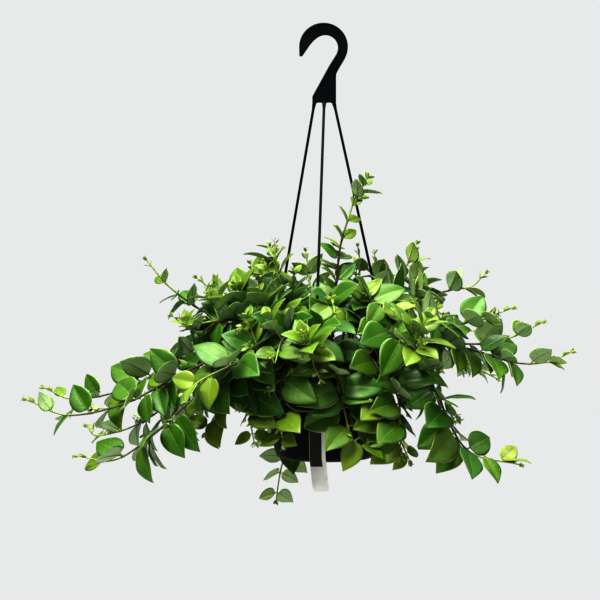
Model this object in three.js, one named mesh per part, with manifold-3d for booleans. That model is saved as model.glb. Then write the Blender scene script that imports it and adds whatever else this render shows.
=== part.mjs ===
// A lipstick plant in a black nursery pot that hangs on a moulded plastic hanger. Millimetres, +Z up.
// Inside the outer group, z = 0 is the top of the pot's rim and x = y = 0 is the pot's axis; the
// group is then lowered so that the origin is the point of the hook that bears on its support.
// The front of the plant, where its label hangs, looks along -Y.
import * as THREE from "three";
import { mergeVertices } from "three/addons/utils/BufferGeometryUtils.js";
import Module from "manifold-3d";

const wasm = await Module();
wasm.setup();

// Hanger: hook, plate and three strands in one moulding
const seatToRim = 426; // from the hook's bearing point down to the rim
const hookInner = 17; // radius of the hook's mouth
const hookThickness = 6;
const plate = { left: -17.4, right: 14.2 };
const plateDrop = 94; // from the bearing point down to the plate's lower edge
const strandRadius = 1.8;
const strandSpacing = 13; // between strands where they leave the plate
const strandShift = -1.6; // of the middle strand there from the pot's axis
const strandAngles = [-129, -9, 111]; // where they meet the rim, in degrees from the front
const clip = { length: 11, width: 4, height: 3 }; // the bar under the rim that ends each strand

// Pot
const rimRadius = 100;
const lipDepth = 12;
const lipWall = 1.6;
const mouthRadius = 88.4; // inside the mouth
const potHeight = 139;
const baseRadius = 65;
const wall = 1.6;
const flange = 2; // thickness of the rim's flat top
const clipCircle = 94.2; // radius of the circle that the hanger's clips hold
const clipHole = 3;
const drainHole = 5;
const drainCircle = 38;
const drainHoles = 5;
const potSides = 24;

// Potting mix
const mixDepth = 14; // below the rim
const fit = 0.3; // clearance between pieces that touch

// Label
const labelWidth = 22;
const labelThickness = 0.8;
const labelDrop = 170; // of its lower end below the rim
const labelOffset = -12; // sideways
const labelFront = 104; // distance of its face from the pot's axis
const labelTab = { rise: 18, reach: 85 }; // of the bent tab that the front strand passes through
const labelHole = 2.8;

// Stems and leaves
const stemRadius = 2;
const rootDepth = 36; // of a stem's foot below the surface of the mix
const collarHeight = 9; // above the mix, up to which a stem is straight
const holeRadius = 4.05;
const stepLength = 32; // of a stem's faceted lengths
const leafThickness = 0.8;
const leafRatio = 0.29; // of half a leaf's width to its length
const leafStart = 84; // from a stem's foot to its first leaves
const leafEnd = 20; // from its last leaves to its tip
const leafGap = { least: 17, most: 31 }; // between pairs of leaves, at the tip and on old growth
const oldGrowth = 140; // distance from the tip at which a stem is full grown
const leafClear = 0.5;
const hangingSpread = 0.7; // how much less a leaf leans along its stem where the stem hangs
const turns = [0, 22, -22, 44, -44, 66, -66]; // of a leaf about its stem, in degrees
const shrinks = [1, 0.85, 0.7];

const rad = THREE.MathUtils.degToRad;
const up = new THREE.Vector3(0, 0, 1);

// A point of the pot frame from an angle (0 at the front, positive towards +X), a radius and a height.
function polar(angle, radius, z) {
  return new THREE.Vector3(Math.sin(rad(angle)) * radius, -Math.cos(rad(angle)) * radius, z);
}

function solidOf(geometry) {
  const bare = geometry.clone();
  bare.deleteAttribute("normal");
  bare.deleteAttribute("uv");
  const merged = mergeVertices(bare, 1e-3);
  return new wasm.Manifold(
    new wasm.Mesh({
      numProp: 3,
      vertProperties: merged.attributes.position.array,
      triVerts: new Uint32Array(merged.index.array),
    }),
  );
}

function geometryOf(solid) {
  const mesh = solid.getMesh();
  const geometry = new THREE.BufferGeometry();
  geometry.setAttribute("position", new THREE.BufferAttribute(mesh.vertProperties, 3));
  geometry.setIndex(new THREE.BufferAttribute(mesh.triVerts, 1));
  geometry.computeVertexNormals();
  return geometry;
}

function polygon(sides, radius) {
  const corners = [];
  for (let i = 0; i < sides; i++) {
    const a = (i / sides) * 2 * Math.PI;
    corners.push(new THREE.Vector2(Math.cos(a) * radius, Math.sin(a) * radius));
  }
  return new THREE.Shape(corners);
}

function tube(curve, sides, radius, steps) {
  return new THREE.ExtrudeGeometry(polygon(sides, radius), { extrudePath: curve, steps });
}

function bore(x, y, radius, low, high, sides = 8) {
  const hole = new THREE.CylinderGeometry(radius, radius, high - low, sides);
  hole.rotateX(Math.PI / 2);
  hole.translate(x, y, (low + high) / 2);
  return solidOf(hole);
}

function turned(profile) {
  const points = profile.map(([r, z]) => new THREE.Vector2(r, z));
  const lathe = new THREE.LatheGeometry(points, potSides);
  lathe.rotateX(Math.PI / 2);
  return solidOf(lathe);
}

// The hook and its plate are one flat moulding in the plane of X and Z.
function hookPlate() {
  const outline = new THREE.Shape();
  outline.moveTo(-35, -16);
  outline.absellipse(-2.5, -16, 32.5, 32, Math.PI, 0, true);
  outline.bezierCurveTo(30, -30, 21, -38, 15, -51);
  outline.lineTo(plate.right, -57);
  outline.lineTo(plate.right, -plateDrop);
  for (const side of [1, -1]) {
    const notch = strandShift + (side * strandSpacing) / 2;
    outline.lineTo(notch + 4.6, -plateDrop);
    outline.quadraticCurveTo(notch + 4.6, 3.6 - plateDrop, notch + 1.2, 3.6 - plateDrop);
    outline.lineTo(notch - 1.2, 3.6 - plateDrop);
    outline.quadraticCurveTo(notch - 4.6, 3.6 - plateDrop, notch - 4.6, -plateDrop);
  }
  outline.lineTo(plate.left, -plateDrop);
  outline.lineTo(plate.left, 9.5 - plateDrop);
  outline.lineTo(1.5, -48);
  outline.bezierCurveTo(11.5, -29.5, hookInner, -26, hookInner, -hookInner);
  outline.absarc(0, -hookInner, hookInner, 0, rad(115), false);
  outline.quadraticCurveTo(-18.6, -6.9, -20, -9.4);
  outline.lineTo(-30, -26.8);
  outline.quadraticCurveTo(-32, -30, -34.8, -27.6);
  const bevel = 1;
  const geometry = new THREE.ExtrudeGeometry(outline, {
    depth: hookThickness - 2 * bevel,
    bevelThickness: bevel,
    bevelSize: bevel,
    bevelOffset: -bevel,
    bevelSegments: 1,
    curveSegments: 5,
  });
  geometry.rotateX(Math.PI / 2);
  geometry.translate(0, hookThickness / 2 - bevel, seatToRim);
  return solidOf(geometry);
}

function strandEnds(index) {
  const across = strandShift + (index - 1) * strandSpacing;
  const top = new THREE.Vector3(across, 0, seatToRim - plateDrop + 4);
  return [top, polar(strandAngles[index], clipCircle, -flange - fit - clip.height / 2)];
}

// Where a strand's axis is at a height.
function strandAt(index, z) {
  const [top, end] = strandEnds(index);
  return end.lerp(top, (z - end.z) / (top.z - end.z));
}

function hanger() {
  let solid = hookPlate();
  strandAngles.forEach((angle, index) => {
    const [top, end] = strandEnds(index);
    solid = solid.add(solidOf(tube(new THREE.LineCurve3(top, end), 6, strandRadius, 1)));
    const bar = new THREE.BoxGeometry(clip.length, clip.width, clip.height);
    bar.rotateZ(rad(angle));
    bar.translate(end.x, end.y, end.z);
    solid = solid.add(solidOf(bar));
  });
  return solid;
}

// Radius of the pot's inside at a height.
function wallRadius(z) {
  return mouthRadius + ((baseRadius - mouthRadius) * z) / (wall - potHeight);
}

function pot() {
  let solid = turned([
    [0, -potHeight],
    [baseRadius - 2, -potHeight],
    [baseRadius + wall, 4 - potHeight],
    [mouthRadius + wall, -flange],
    [rimRadius - lipWall, -flange],
    [rimRadius - lipWall, -lipDepth],
    [rimRadius, -lipDepth],
    [rimRadius, 0],
    [mouthRadius, 0],
    [baseRadius, wall - potHeight],
    [0, wall - potHeight],
  ]);
  for (const index of [0, 1, 2]) {
    const hole = strandAt(index, -flange / 2);
    solid = solid.subtract(bore(hole.x, hole.y, clipHole, -flange - 1, 1));
  }
  for (let i = 0; i < drainHoles; i++) {
    const hole = polar((i * 360) / drainHoles, drainCircle, 0);
    solid = solid.subtract(bore(hole.x, hole.y, drainHole, -potHeight - 1, wall + 1 - potHeight, 6));
  }
  return solid;
}

// The mix fills the pot, with a plain hole for the foot of each stem.
function pottingMix(stems) {
  const floor = wall + fit - potHeight;
  let solid = turned([
    [0, floor],
    [wallRadius(floor) - fit, floor],
    [wallRadius(-mixDepth) - fit, -mixDepth],
    [0, -mixDepth],
  ]);
  for (const stem of stems) {
    const direction = stem.collar.clone().sub(stem.foot).normalize();
    const low = stem.foot.clone().addScaledVector(direction, -1);
    const high = stem.collar.clone().addScaledVector(direction, 8);
    solid = solid.subtract(solidOf(tube(new THREE.LineCurve3(low, high), 3, holeRadius, 1)));
  }
  return solid;
}

// A strip that hangs in front of the pot, its top bent back over the rim, where the strand passes it.
function label() {
  const half = labelThickness / 2;
  const strip = new THREE.Shape([
    new THREE.Vector2(-labelFront, -labelDrop),
    new THREE.Vector2(labelThickness - labelFront, -labelDrop),
    new THREE.Vector2(labelThickness - labelFront, 1 - half),
    new THREE.Vector2(-labelTab.reach, labelTab.rise - half),
    new THREE.Vector2(-labelTab.reach, labelTab.rise + half),
    new THREE.Vector2(-labelFront, 1 + half),
  ]);
  const geometry = new THREE.ExtrudeGeometry(strip, { depth: labelWidth, bevelEnabled: false });
  const axes = new THREE.Matrix4().makeBasis(
    new THREE.Vector3(0, 1, 0),
    new THREE.Vector3(0, 0, 1),
    new THREE.Vector3(1, 0, 0),
  );
  geometry.applyMatrix4(axes);
  geometry.translate(labelOffset - labelWidth / 2, 0, 0);
  const at = strandAt(1, labelTab.rise * 0.83);
  return solidOf(geometry).subtract(bore(at.x, at.y, labelHole, 0, labelTab.rise + 5));
}

// Each stem's route, chosen by hand: the radius of its foot, the length of its largest leaves, how much of
// that its last leaves keep, the share of leaves that have fallen, and the points that it passes.
const routes = {
  left_high: {
    foot: 38,
    leaf: 55,
    tip: 0.3,
    thin: 0.28,
    via: [[-100, -8, 34], [-187, -30, -6], [-259, -45, -44], [-326, -50, -58], [-365, -50, -44]],
  },
  left_mid: {
    foot: 52,
    leaf: 53,
    tip: 0.3,
    thin: 0.28,
    via: [[-82, -42, 16], [-180, -85, -20], [-251, -100, -58], [-324, -105, -74], [-377, -105, -55]],
  },
  left_low: {
    foot: 60,
    leaf: 57,
    tip: 0.55,
    thin: 0.28,
    via: [
      [-75, -54, 15], [-170, -108, -55], [-224, -118, -103], [-267, -120, -129], [-310, -118, -124],
    ],
  },
  left_back: {
    foot: 50,
    leaf: 51,
    tip: 0.42,
    thin: 0.48,
    via: [[-88, 26, 20], [-175, 40, -40], [-250, 36, -96], [-309, 35, -114], [-324, 35, -103]],
  },
  left_drop: {
    foot: 60,
    leaf: 51,
    tip: 0.7,
    thin: 0,
    via: [[-67, -63, 15], [-114, -108, -25], [-136, -108, -66], [-153, -100, -96]],
  },
  left_up: {
    foot: 30,
    leaf: 47,
    tip: 0.3,
    thin: 0.28,
    via: [[-92, 10, 48], [-150, 2, 50], [-205, -10, 86], [-237, -15, 123]],
  },
  left_crest: {
    foot: 20,
    leaf: 47,
    tip: 0.45,
    thin: 0.28,
    via: [[-72, 20, 58], [-118, 24, 70], [-150, 18, 84], [-172, 12, 100]],
  },
  left_hook: {
    foot: 40,
    leaf: 49,
    tip: 0.42,
    thin: 0.28,
    via: [[-88, -44, 42], [-140, -80, 44], [-177, -95, 39], [-194, -95, 50]],
  },
  left_front: {
    foot: 44,
    leaf: 55,
    tip: 0.5,
    thin: 0.28,
    via: [[-57, -73, 24], [-110, -145, -5], [-150, -162, -24], [-175, -165, -42]],
  },
  left_leaf: {
    foot: 30,
    leaf: 49,
    tip: 0.5,
    thin: 0.48,
    via: [[-70, 44, 50], [-108, 62, 70], [-126, 66, 100]],
  },
  left_far: {
    foot: 52,
    leaf: 51,
    tip: 0.42,
    thin: 0.48,
    via: [[-78, 48, 20], [-158, 88, 16], [-195, 92, 6], [-222, 92, -14]],
  },
  top_left: {
    foot: 22,
    leaf: 49,
    tip: 0.55,
    thin: 0.28,
    via: [[-44, -24, 50], [-58, -38, 90], [-66, -44, 121], [-66, -45, 145]],
  },
  top_lean: {
    foot: 12,
    leaf: 45,
    tip: 0.55,
    thin: 0.38,
    via: [[-46, 30, 60], [-74, 48, 82], [-96, 54, 104], [-102, 55, 120]],
  },
  top_mid: {
    foot: 34,
    leaf: 47,
    tip: 0.55,
    thin: 0.48,
    via: [[-14, 56, 50], [-20, 66, 90], [-23, 70, 118], [-26, 70, 138]],
  },
  top_tall: {
    foot: 8,
    leaf: 37,
    tip: 0.36,
    thin: 0.28,
    via: [[10, -8, 44], [14, -14, 91], [20, -15, 144], [33, -15, 188], [43, -15, 222]],
  },
  top_yellow: {
    foot: 30,
    leaf: 43,
    tip: 0.55,
    thin: 0.28,
    via: [[34, 8, 47], [40, 10, 82], [47, 10, 115], [44, 10, 142]],
  },
  top_right: {
    foot: 46,
    leaf: 49,
    tip: 0.65,
    thin: 0.28,
    via: [[66, 52, 46], [72, 62, 84], [70, 62, 112], [69, 60, 134]],
  },
  right_bud: {
    foot: 40,
    leaf: 49,
    tip: 0.62,
    thin: 0.28,
    via: [[78, 8, 54], [100, 18, 100], [114, 24, 124], [124, 25, 146]],
  },
  right_up: {
    foot: 62,
    leaf: 49,
    tip: 0.5,
    thin: 0.28,
    via: [[84, 62, 40], [132, 64, 72], [177, 64, 85], [204, 62, 90], [222, 60, 107]],
  },
  right_high: {
    foot: 42,
    leaf: 53,
    tip: 0.5,
    thin: 0.28,
    via: [[86, -28, 36], [147, -60, 38], [191, -70, 44], [236, -75, 60]],
  },
  right_mid: {
    foot: 52,
    leaf: 51,
    tip: 0.42,
    thin: 0.28,
    via: [[96, 4, 26], [160, 14, 14], [215, 20, 12], [256, 20, 22], [293, 20, 40]],
  },
  right_long: {
    foot: 60,
    leaf: 53,
    tip: 0.36,
    thin: 0.28,
    via: [[90, -20, 16], [180, -46, 8], [244, -60, -10], [287, -60, -9], [315, -60, 3]],
  },
  right_low: {
    foot: 60,
    leaf: 57,
    tip: 0.5,
    thin: 0.28,
    via: [[76, -51, 15], [132, -104, -36], [152, -118, -82], [180, -120, -120], [238, -120, -134]],
  },
  right_front: {
    foot: 36,
    leaf: 55,
    tip: 0.6,
    thin: 0.28,
    via: [[62, -78, 36], [88, -125, 24], [106, -165, 8], [112, -186, 18]],
  },
  right_drop: {
    foot: 62,
    leaf: 55,
    tip: 0.7,
    thin: 0,
    via: [[57, -72, 15], [88, -118, -50], [90, -122, -97], [102, -120, -128]],
  },
  front_left: {
    foot: 58,
    leaf: 57,
    tip: 0.7,
    thin: 0,
    via: [[-34, -86, 15], [-54, -128, -18], [-59, -128, -59], [-55, -126, -108]],
  },
  front_right: {
    foot: 60,
    leaf: 57,
    tip: 0.7,
    thin: 0,
    via: [[7, -92, 15], [12, -130, -22], [21, -132, -66], [32, -130, -103], [52, -128, -114]],
  },
  front_shoot: {
    foot: 34,
    leaf: 51,
    tip: 0.45,
    thin: 0,
    via: [[-36, -84, 38], [-56, -140, 22], [-64, -172, -4], [-68, -188, 2]],
  },
  front_mid: {
    foot: 36,
    leaf: 55,
    tip: 0.45,
    thin: 0,
    via: [[-4, -84, 40], [-16, -135, 26], [-18, -160, -4], [-10, -168, -24]],
  },
  low_left: {
    foot: 60,
    leaf: 55,
    tip: 0.7,
    thin: 0,
    via: [[-46, -80, 15], [-92, -112, -26], [-97, -114, -70], [-92, -108, -106]],
  },
  low_right: {
    foot: 60,
    leaf: 55,
    tip: 0.7,
    thin: 0,
    via: [[44, -81, 15], [68, -120, -24], [72, -122, -66], [66, -118, -104]],
  },
  crown_left: {
    foot: 28,
    leaf: 57,
    tip: 0.55,
    thin: 0,
    via: [[-54, -60, 46], [-84, -96, 50], [-108, -122, 34]],
  },
  crown_mid: {
    foot: 20,
    leaf: 53,
    tip: 0.55,
    thin: 0,
    via: [[4, -44, 60], [8, -80, 66], [10, -118, 50]],
  },
  crown_right: {
    foot: 30,
    leaf: 55,
    tip: 0.55,
    thin: 0,
    via: [[44, -46, 60], [70, -84, 66], [94, -112, 50]],
  },
  crown_east: {
    foot: 22,
    leaf: 51,
    tip: 0.55,
    thin: 0.28,
    via: [[74, -14, 62], [112, -34, 68], [146, -44, 56]],
  },
  crown_west: {
    foot: 26,
    leaf: 51,
    tip: 0.55,
    thin: 0.28,
    via: [[-72, -20, 62], [-112, -40, 66], [-146, -50, 56]],
  },
  behind_left: {
    foot: 56,
    leaf: 53,
    tip: 0.5,
    thin: 0.48,
    via: [[-53, 75, 20], [-96, 140, -6], [-118, 176, -50], [-124, 190, -88]],
  },
  behind_right: {
    foot: 56,
    leaf: 53,
    tip: 0.5,
    thin: 0.48,
    via: [[55, 74, 20], [104, 138, 0], [128, 170, -40], [138, 184, -80]],
  },
  behind_mid: {
    foot: 56,
    leaf: 53,
    tip: 0.5,
    thin: 0.48,
    via: [[6, 92, 16], [10, 160, -12], [12, 186, -60], [8, 194, -104]],
  },
  behind_east: {
    foot: 54,
    leaf: 51,
    tip: 0.45,
    thin: 0.48,
    via: [[87, 20, 22], [160, 58, 4], [210, 96, -22], [244, 108, -40]],
  },
  behind_crown: {
    foot: 30,
    leaf: 51,
    tip: 0.5,
    thin: 0.48,
    via: [[-30, 76, 50], [-50, 128, 46], [-62, 166, 30]],
  },
  behind_high: {
    foot: 26,
    leaf: 51,
    tip: 0.5,
    thin: 0.48,
    via: [[34, 74, 56], [48, 124, 56], [60, 160, 42]],
  },
  behind_low: {
    foot: 60,
    leaf: 49,
    tip: 0.45,
    thin: 0.48,
    via: [[-30, 87, 16], [-48, 124, -40], [-50, 126, -120], [-62, 122, -175], [-68, 118, -214]],
  },
};

// A sequence of draws between 0 and 1 that is the same on every run.
function randomFrom(seed) {
  let state = seed;
  return () => {
    state = (state * 16807) % 2147483647;
    return state / 2147483647;
  };
}

// A stem leaves the mix in a straight line from its foot to its collar, then follows its route.
function stemOf([name, { foot, leaf, tip, thin, via }], index) {
  const points = via.map(([x, y, z]) => new THREE.Vector3(x, y, z));
  const across = Math.hypot(points[0].x, points[0].y);
  const root = points[0].clone().multiplyScalar(foot / across);
  root.z = -mixDepth - rootDepth;
  const share = (collarHeight - mixDepth - root.z) / (points[0].z - root.z);
  const collar = root.clone().lerp(points[0], share);
  const curve = new THREE.CatmullRomCurve3([root, collar, ...points], false, "catmullrom", 0.5);
  const steps = Math.round(curve.getLength() / stepLength);
  return { name, leaf, tip, thin, foot: root, collar, curve, steps, seed: 4001 + 131 * index };
}

// Opposite pairs of leaves along a stem, closer together and smaller towards the tip.
function leafSites(stem) {
  const draw = randomFrom(stem.seed);
  const length = stem.curve.getLength();
  const sites = [];
  let along = leafStart;
  let pair = 0;
  while (along < length - leafEnd) {
    const left = length - along;
    for (const side of [-1, 1]) {
      const draws = [draw(), draw(), draw(), draw(), draw(), draw()];
      const size = stem.leaf * Math.min(1, stem.tip + left / 160) * (0.86 + 0.28 * draws[0]);
      if (draws[1] > stem.thin) sites.push({ at: along / length, left, side, pair, size, draws });
    }
    along += leafGap.least + (leafGap.most - leafGap.least) * Math.min(1, left / oldGrowth);
    pair += 1;
  }
  return sites;
}

// The frame of a leaf: its foot on the stem's axis, the way it points, and the side that faces the light.
function leafFrame(stem, site, turn, shrink) {
  const { draws, side } = site;
  const step = Math.floor(site.at * stem.steps);
  const foot = stem.curve.getPointAt(step / stem.steps);
  foot.lerp(stem.curve.getPointAt((step + 1) / stem.steps), site.at * stem.steps - step);
  const tangent = stem.curve.getTangentAt(site.at);
  const outward = new THREE.Vector3(foot.x, foot.y, 0).normalize();
  const light = up.clone().addScaledVector(outward, 0.8 + 0.8 * Math.max(0, -tangent.z)).normalize();
  const flank = tangent.clone().cross(light).normalize();
  const twist = 12 + 34 * (1 - Math.abs(tangent.z));
  const roll = turn + (site.pair % 2 ? twist : -twist) + 50 * (draws[2] - 0.5);
  flank.multiplyScalar(side).applyAxisAngle(tangent, rad(roll) * side);
  const spread = 24 + 22 * draws[3] + 26 * Math.max(0, 1 - site.left / 60);
  const lean = rad(spread * (1 - hangingSpread * Math.max(0, -tangent.z)));
  const along = flank.multiplyScalar(Math.cos(lean)).addScaledVector(tangent, Math.sin(lean));
  const face = light.clone().addScaledVector(along, -light.dot(along)).normalize();
  const droop = rad(48 * draws[4] - 12) * Math.max(0, face.z) * Math.min(1, site.left / 70);
  const axis = along.clone().cross(face);
  along.applyAxisAngle(axis, -droop);
  face.applyAxisAngle(axis, -droop);
  face.applyAxisAngle(along, rad(36 * (draws[5] - 0.5)));
  return { foot, along, face, across: along.clone().cross(face), size: site.size * shrink };
}

// A leaf is a thin plate on a six-sided outline, arched along its length. Its foot lies on the stem's
// axis. With a clearance, it is a fatter copy without its foot.
function leafSolid({ foot, along, face, across, size }, clearance = 0) {
  const half = leafRatio * size;
  const start = clearance ? 0.16 : 0;
  const outline = [
    [0, start],
    [0.92 * half + clearance, 0.3],
    [0.84 * half + clearance, 0.68],
    [0, 1 + clearance / size],
    [-0.84 * half - clearance, 0.68],
    [-0.92 * half - clearance, 0.3],
  ];
  const lift = leafThickness / 2 + clearance;
  const vertProperties = [];
  for (const sign of [1, -1]) {
    for (const [x, y] of outline) {
      const z = size * (0.12 * y - 0.22 * y * y) + sign * lift;
      const point = foot.clone().addScaledVector(across, x).addScaledVector(along, y * size);
      vertProperties.push(...point.addScaledVector(face, z).toArray());
    }
  }
  const triVerts = [];
  for (const [a, b, c] of [[0, 1, 5], [1, 2, 4], [1, 4, 5], [2, 3, 4]]) {
    triVerts.push(a, b, c, a + 6, c + 6, b + 6);
  }
  for (let i = 0; i < 6; i++) {
    const j = (i + 1) % 6;
    triVerts.push(i, i + 6, j + 6, i, j + 6, j);
  }
  const mesh = new wasm.Mesh({
    numProp: 3,
    vertProperties: new Float32Array(vertProperties),
    triVerts: new Uint32Array(triVerts),
  });
  return new wasm.Manifold(mesh);
}

// A solid with its bounding box and the name of the piece or stem that it belongs to.
function placed(solid, owner) {
  const box = new THREE.Box3().setFromBufferAttribute(geometryOf(solid).attributes.position);
  return { solid, box, owner };
}

function isClear(item, others) {
  return others.every(
    (other) => !item.box.intersectsBox(other.box) || item.solid.intersect(other.solid).volume() === 0,
  );
}

// Leaves are turned about their stem, and made smaller, until they touch nothing that stands already.
function growLeaves(stem, standing) {
  const leaves = [];
  for (const site of leafSites(stem)) {
    const tries = shrinks.flatMap((shrink) => turns.map((turn) => [turn, shrink]));
    for (const [turn, shrink] of tries) {
      const frame = leafFrame(stem, site, turn, shrink);
      const leaf = placed(leafSolid(frame), stem.name);
      const fits = isClear(leaf, standing.filter((item) => item.owner !== stem.name));
      if (!fits || !isClear(placed(leafSolid(frame, leafClear)), standing)) continue;
      standing.push(leaf);
      leaves.push(leaf.solid);
      break;
    }
  }
  return leaves;
}

const stems = Object.entries(routes).map(stemOf);
const pieces = { hanger: hanger(), pot: pot(), potting_mix: pottingMix(stems), label: label() };
for (const stem of stems) {
  stem.solid = solidOf(tube(stem.curve, 3, stemRadius, stem.steps));
}
const standing = [
  ...Object.entries(pieces).map(([name, solid]) => placed(solid, name)),
  ...stems.map((stem) => placed(stem.solid, stem.name)),
];
for (const stem of stems) {
  for (const leaf of growLeaves(stem, standing)) stem.solid = stem.solid.add(leaf);
}

const black = new THREE.MeshStandardMaterial({ color: 0x17181a, roughness: 0.45, metalness: 0 });
const looks = {
  hanger: black,
  pot: black.clone(),
  potting_mix: new THREE.MeshStandardMaterial({ color: 0x33261c, roughness: 0.95, metalness: 0 }),
  label: new THREE.MeshStandardMaterial({ color: 0xe9e6df, roughness: 0.5, metalness: 0 }),
};
const basket = new THREE.Group();
basket.position.z = -seatToRim;
for (const [name, solid] of Object.entries(pieces)) {
  const mesh = new THREE.Mesh(geometryOf(solid), looks[name]);
  mesh.name = name;
  basket.add(mesh);
}
for (const { name, solid } of stems) {
  const green = new THREE.MeshStandardMaterial({ color: 0x4f8a2e, roughness: 0.4, metalness: 0 });
  const mesh = new THREE.Mesh(geometryOf(solid), green);
  mesh.name = "stem_" + name;
  basket.add(mesh);
}
const plant = new THREE.Group();
plant.add(basket);

export default plant;
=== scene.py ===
import math
import random

import bpy
import numpy as np
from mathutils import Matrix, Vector, kdtree, noise
from mathutils.bvhtree import BVHTree


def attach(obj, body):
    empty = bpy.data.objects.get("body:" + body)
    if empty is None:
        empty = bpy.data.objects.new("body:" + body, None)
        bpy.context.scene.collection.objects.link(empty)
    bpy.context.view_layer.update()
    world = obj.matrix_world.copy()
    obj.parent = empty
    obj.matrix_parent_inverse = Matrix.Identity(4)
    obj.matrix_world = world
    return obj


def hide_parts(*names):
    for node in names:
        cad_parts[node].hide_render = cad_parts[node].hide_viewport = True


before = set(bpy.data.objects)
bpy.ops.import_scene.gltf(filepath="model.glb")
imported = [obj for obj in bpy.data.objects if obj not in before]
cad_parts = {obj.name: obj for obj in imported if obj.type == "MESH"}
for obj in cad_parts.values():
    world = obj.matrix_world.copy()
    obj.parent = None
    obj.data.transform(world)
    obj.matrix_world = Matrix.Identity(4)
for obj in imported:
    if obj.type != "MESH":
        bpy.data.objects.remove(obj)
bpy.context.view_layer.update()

# Shapes are in millimetres in the pot's own frame: z = 0 on the rim, x = y = 0 on the pot's axis.
# toPart takes them to the part's frame, in metres, with the hook's bearing point at the origin.
seatToRim = 426


def toPart(points):
    return (np.asarray(points, float) - (0, 0, seatToRim)) / 1000


def unit(vector):
    return vector / np.linalg.norm(vector)


def turned(vector, axis, angle):
    # the vector turned about an axis of length 1, by an angle in radians
    c, s = math.cos(angle), math.sin(angle)
    return vector * c + np.cross(axis, vector) * s + axis * np.dot(axis, vector) * (1 - c)


def smooth(low, high, value):
    share = np.clip((np.asarray(value, float) - low) / (high - low), 0, 1)
    return share * share * (3 - 2 * share)


def rimPoint(angle, radius, height):
    # angle 0 is the front, positive to the right, in degrees
    a = math.radians(angle)
    return np.array([math.sin(a) * radius, -math.cos(a) * radius, height])


def fromAxis(point):
    return math.hypot(point[0], point[1])


def outwardAt(point):
    return unit(np.array([point[0], point[1], 0]))


def newBatch():
    # gathers the shapes of one piece
    return {"points": [], "faces": [], "finishes": [], "marks": {}, "count": 0}


def addMesh(batch, points, faces, finish=0, **marks):
    # each mark is one number a point, or one for all of them, and 0 where a shape has none
    points = np.asarray(points, float).reshape(-1, 3)
    start = batch["count"]
    batch["points"].append(points)
    batch["faces"].extend([tuple(int(i) + start for i in face) for face in faces])
    batch["finishes"].extend([finish] * len(faces))
    for name, values in marks.items():
        values = np.broadcast_to(np.asarray(values, float), (len(points),))
        batch["marks"].setdefault(name, []).append((start, values))
    batch["count"] += len(points)


def newObject(name, data):
    thing = bpy.data.objects.new(name, data)
    bpy.context.scene.collection.objects.link(thing)
    return thing


def meshObject(name, batch, materials, isSmooth=True):
    mesh = bpy.data.meshes.new(name)
    mesh.from_pydata(toPart(np.concatenate(batch["points"])), [], batch["faces"])
    for mark, parts in batch["marks"].items():
        values = np.zeros(batch["count"], np.float32)
        for start, some in parts:
            values[start:start + len(some)] = some
        mesh.attributes.new(mark, "FLOAT", "POINT").data.foreach_set("value", values)
    for material in materials:
        mesh.materials.append(material)
    mesh.polygons.foreach_set("material_index", batch["finishes"])
    mesh.polygons.foreach_set("use_smooth", [isSmooth] * len(mesh.polygons))
    mesh.update()
    return newObject(name, mesh)


def ringFaces(rows, count):
    # quads between closed rings of points, and a flat cap at each end
    faces = []
    for low in range(0, (rows - 1) * count, count):
        for side in range(count):
            after = (side + 1) % count
            faces.append((low + side, low + after, low + count + after, low + count + side))
    return faces + [tuple(range(count))[::-1], tuple(range((rows - 1) * count, rows * count))]


def tubeMesh(path, radii, sides):
    # a closed tube along the path, whose rings turn as little as they can
    path = np.asarray(path, float)
    radii = np.broadcast_to(np.asarray(radii, float), (len(path),))
    tangents = np.gradient(path, axis=0)
    tangents /= np.linalg.norm(tangents, axis=1)[:, None]
    across = np.cross(tangents[0], (0, 0, 1) if abs(tangents[0][2]) < 0.9 else (1, 0, 0))
    first = []
    for tangent in tangents:
        across = unit(across - tangent * np.dot(across, tangent))
        first.append(across)
    first = np.array(first)
    second = np.cross(tangents, first)
    angles = np.arange(sides) * 2 * math.pi / sides
    ring = np.cos(angles)[None, :, None] * first[:, None] + np.sin(angles)[None, :, None] * second[:, None]
    points = path[:, None] + ring * radii[:, None, None]
    return points.reshape(-1, 3), ringFaces(len(path), sides)


def addTube(batch, path, radii, sides, finish=0, **marks):
    addMesh(batch, *tubeMesh(path, radii, sides), finish, **marks)


def arc(centre, radius, start, end, count):
    # points on an arc, angles in degrees
    angles = np.radians(np.linspace(start, end, count + 1))
    return [(centre[0] + radius * math.cos(a), centre[1] + radius * math.sin(a)) for a in angles]


def bezier(*controls, count=10):
    points = []
    for t in np.linspace(0, 1, count + 1):
        row = [np.array(c, float) for c in controls]
        while len(row) > 1:
            row = [a + (b - a) * t for a, b in zip(row, row[1:])]
        points.append(tuple(row[0]))
    return points


def eased(corners, radius, count=4, closed=True):
    # an outline with each corner rounded; radius is one number, or one for each corner
    corners = [np.array(corner, float) for corner in corners]
    radii = [radius] * len(corners) if np.isscalar(radius) else radius
    points = []
    for index, (corner, r) in enumerate(zip(corners, radii)):
        if r <= 0 or (not closed and index in (0, len(corners) - 1)):
            points.append(tuple(corner))
            continue
        before, after = corners[index - 1], corners[(index + 1) % len(corners)]
        r = min(r, 0.45 * np.linalg.norm(before - corner), 0.45 * np.linalg.norm(after - corner))
        start, end = corner + unit(before - corner) * r, corner + unit(after - corner) * r
        points.extend(bezier(start, corner, end, count=count))
    return points


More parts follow.
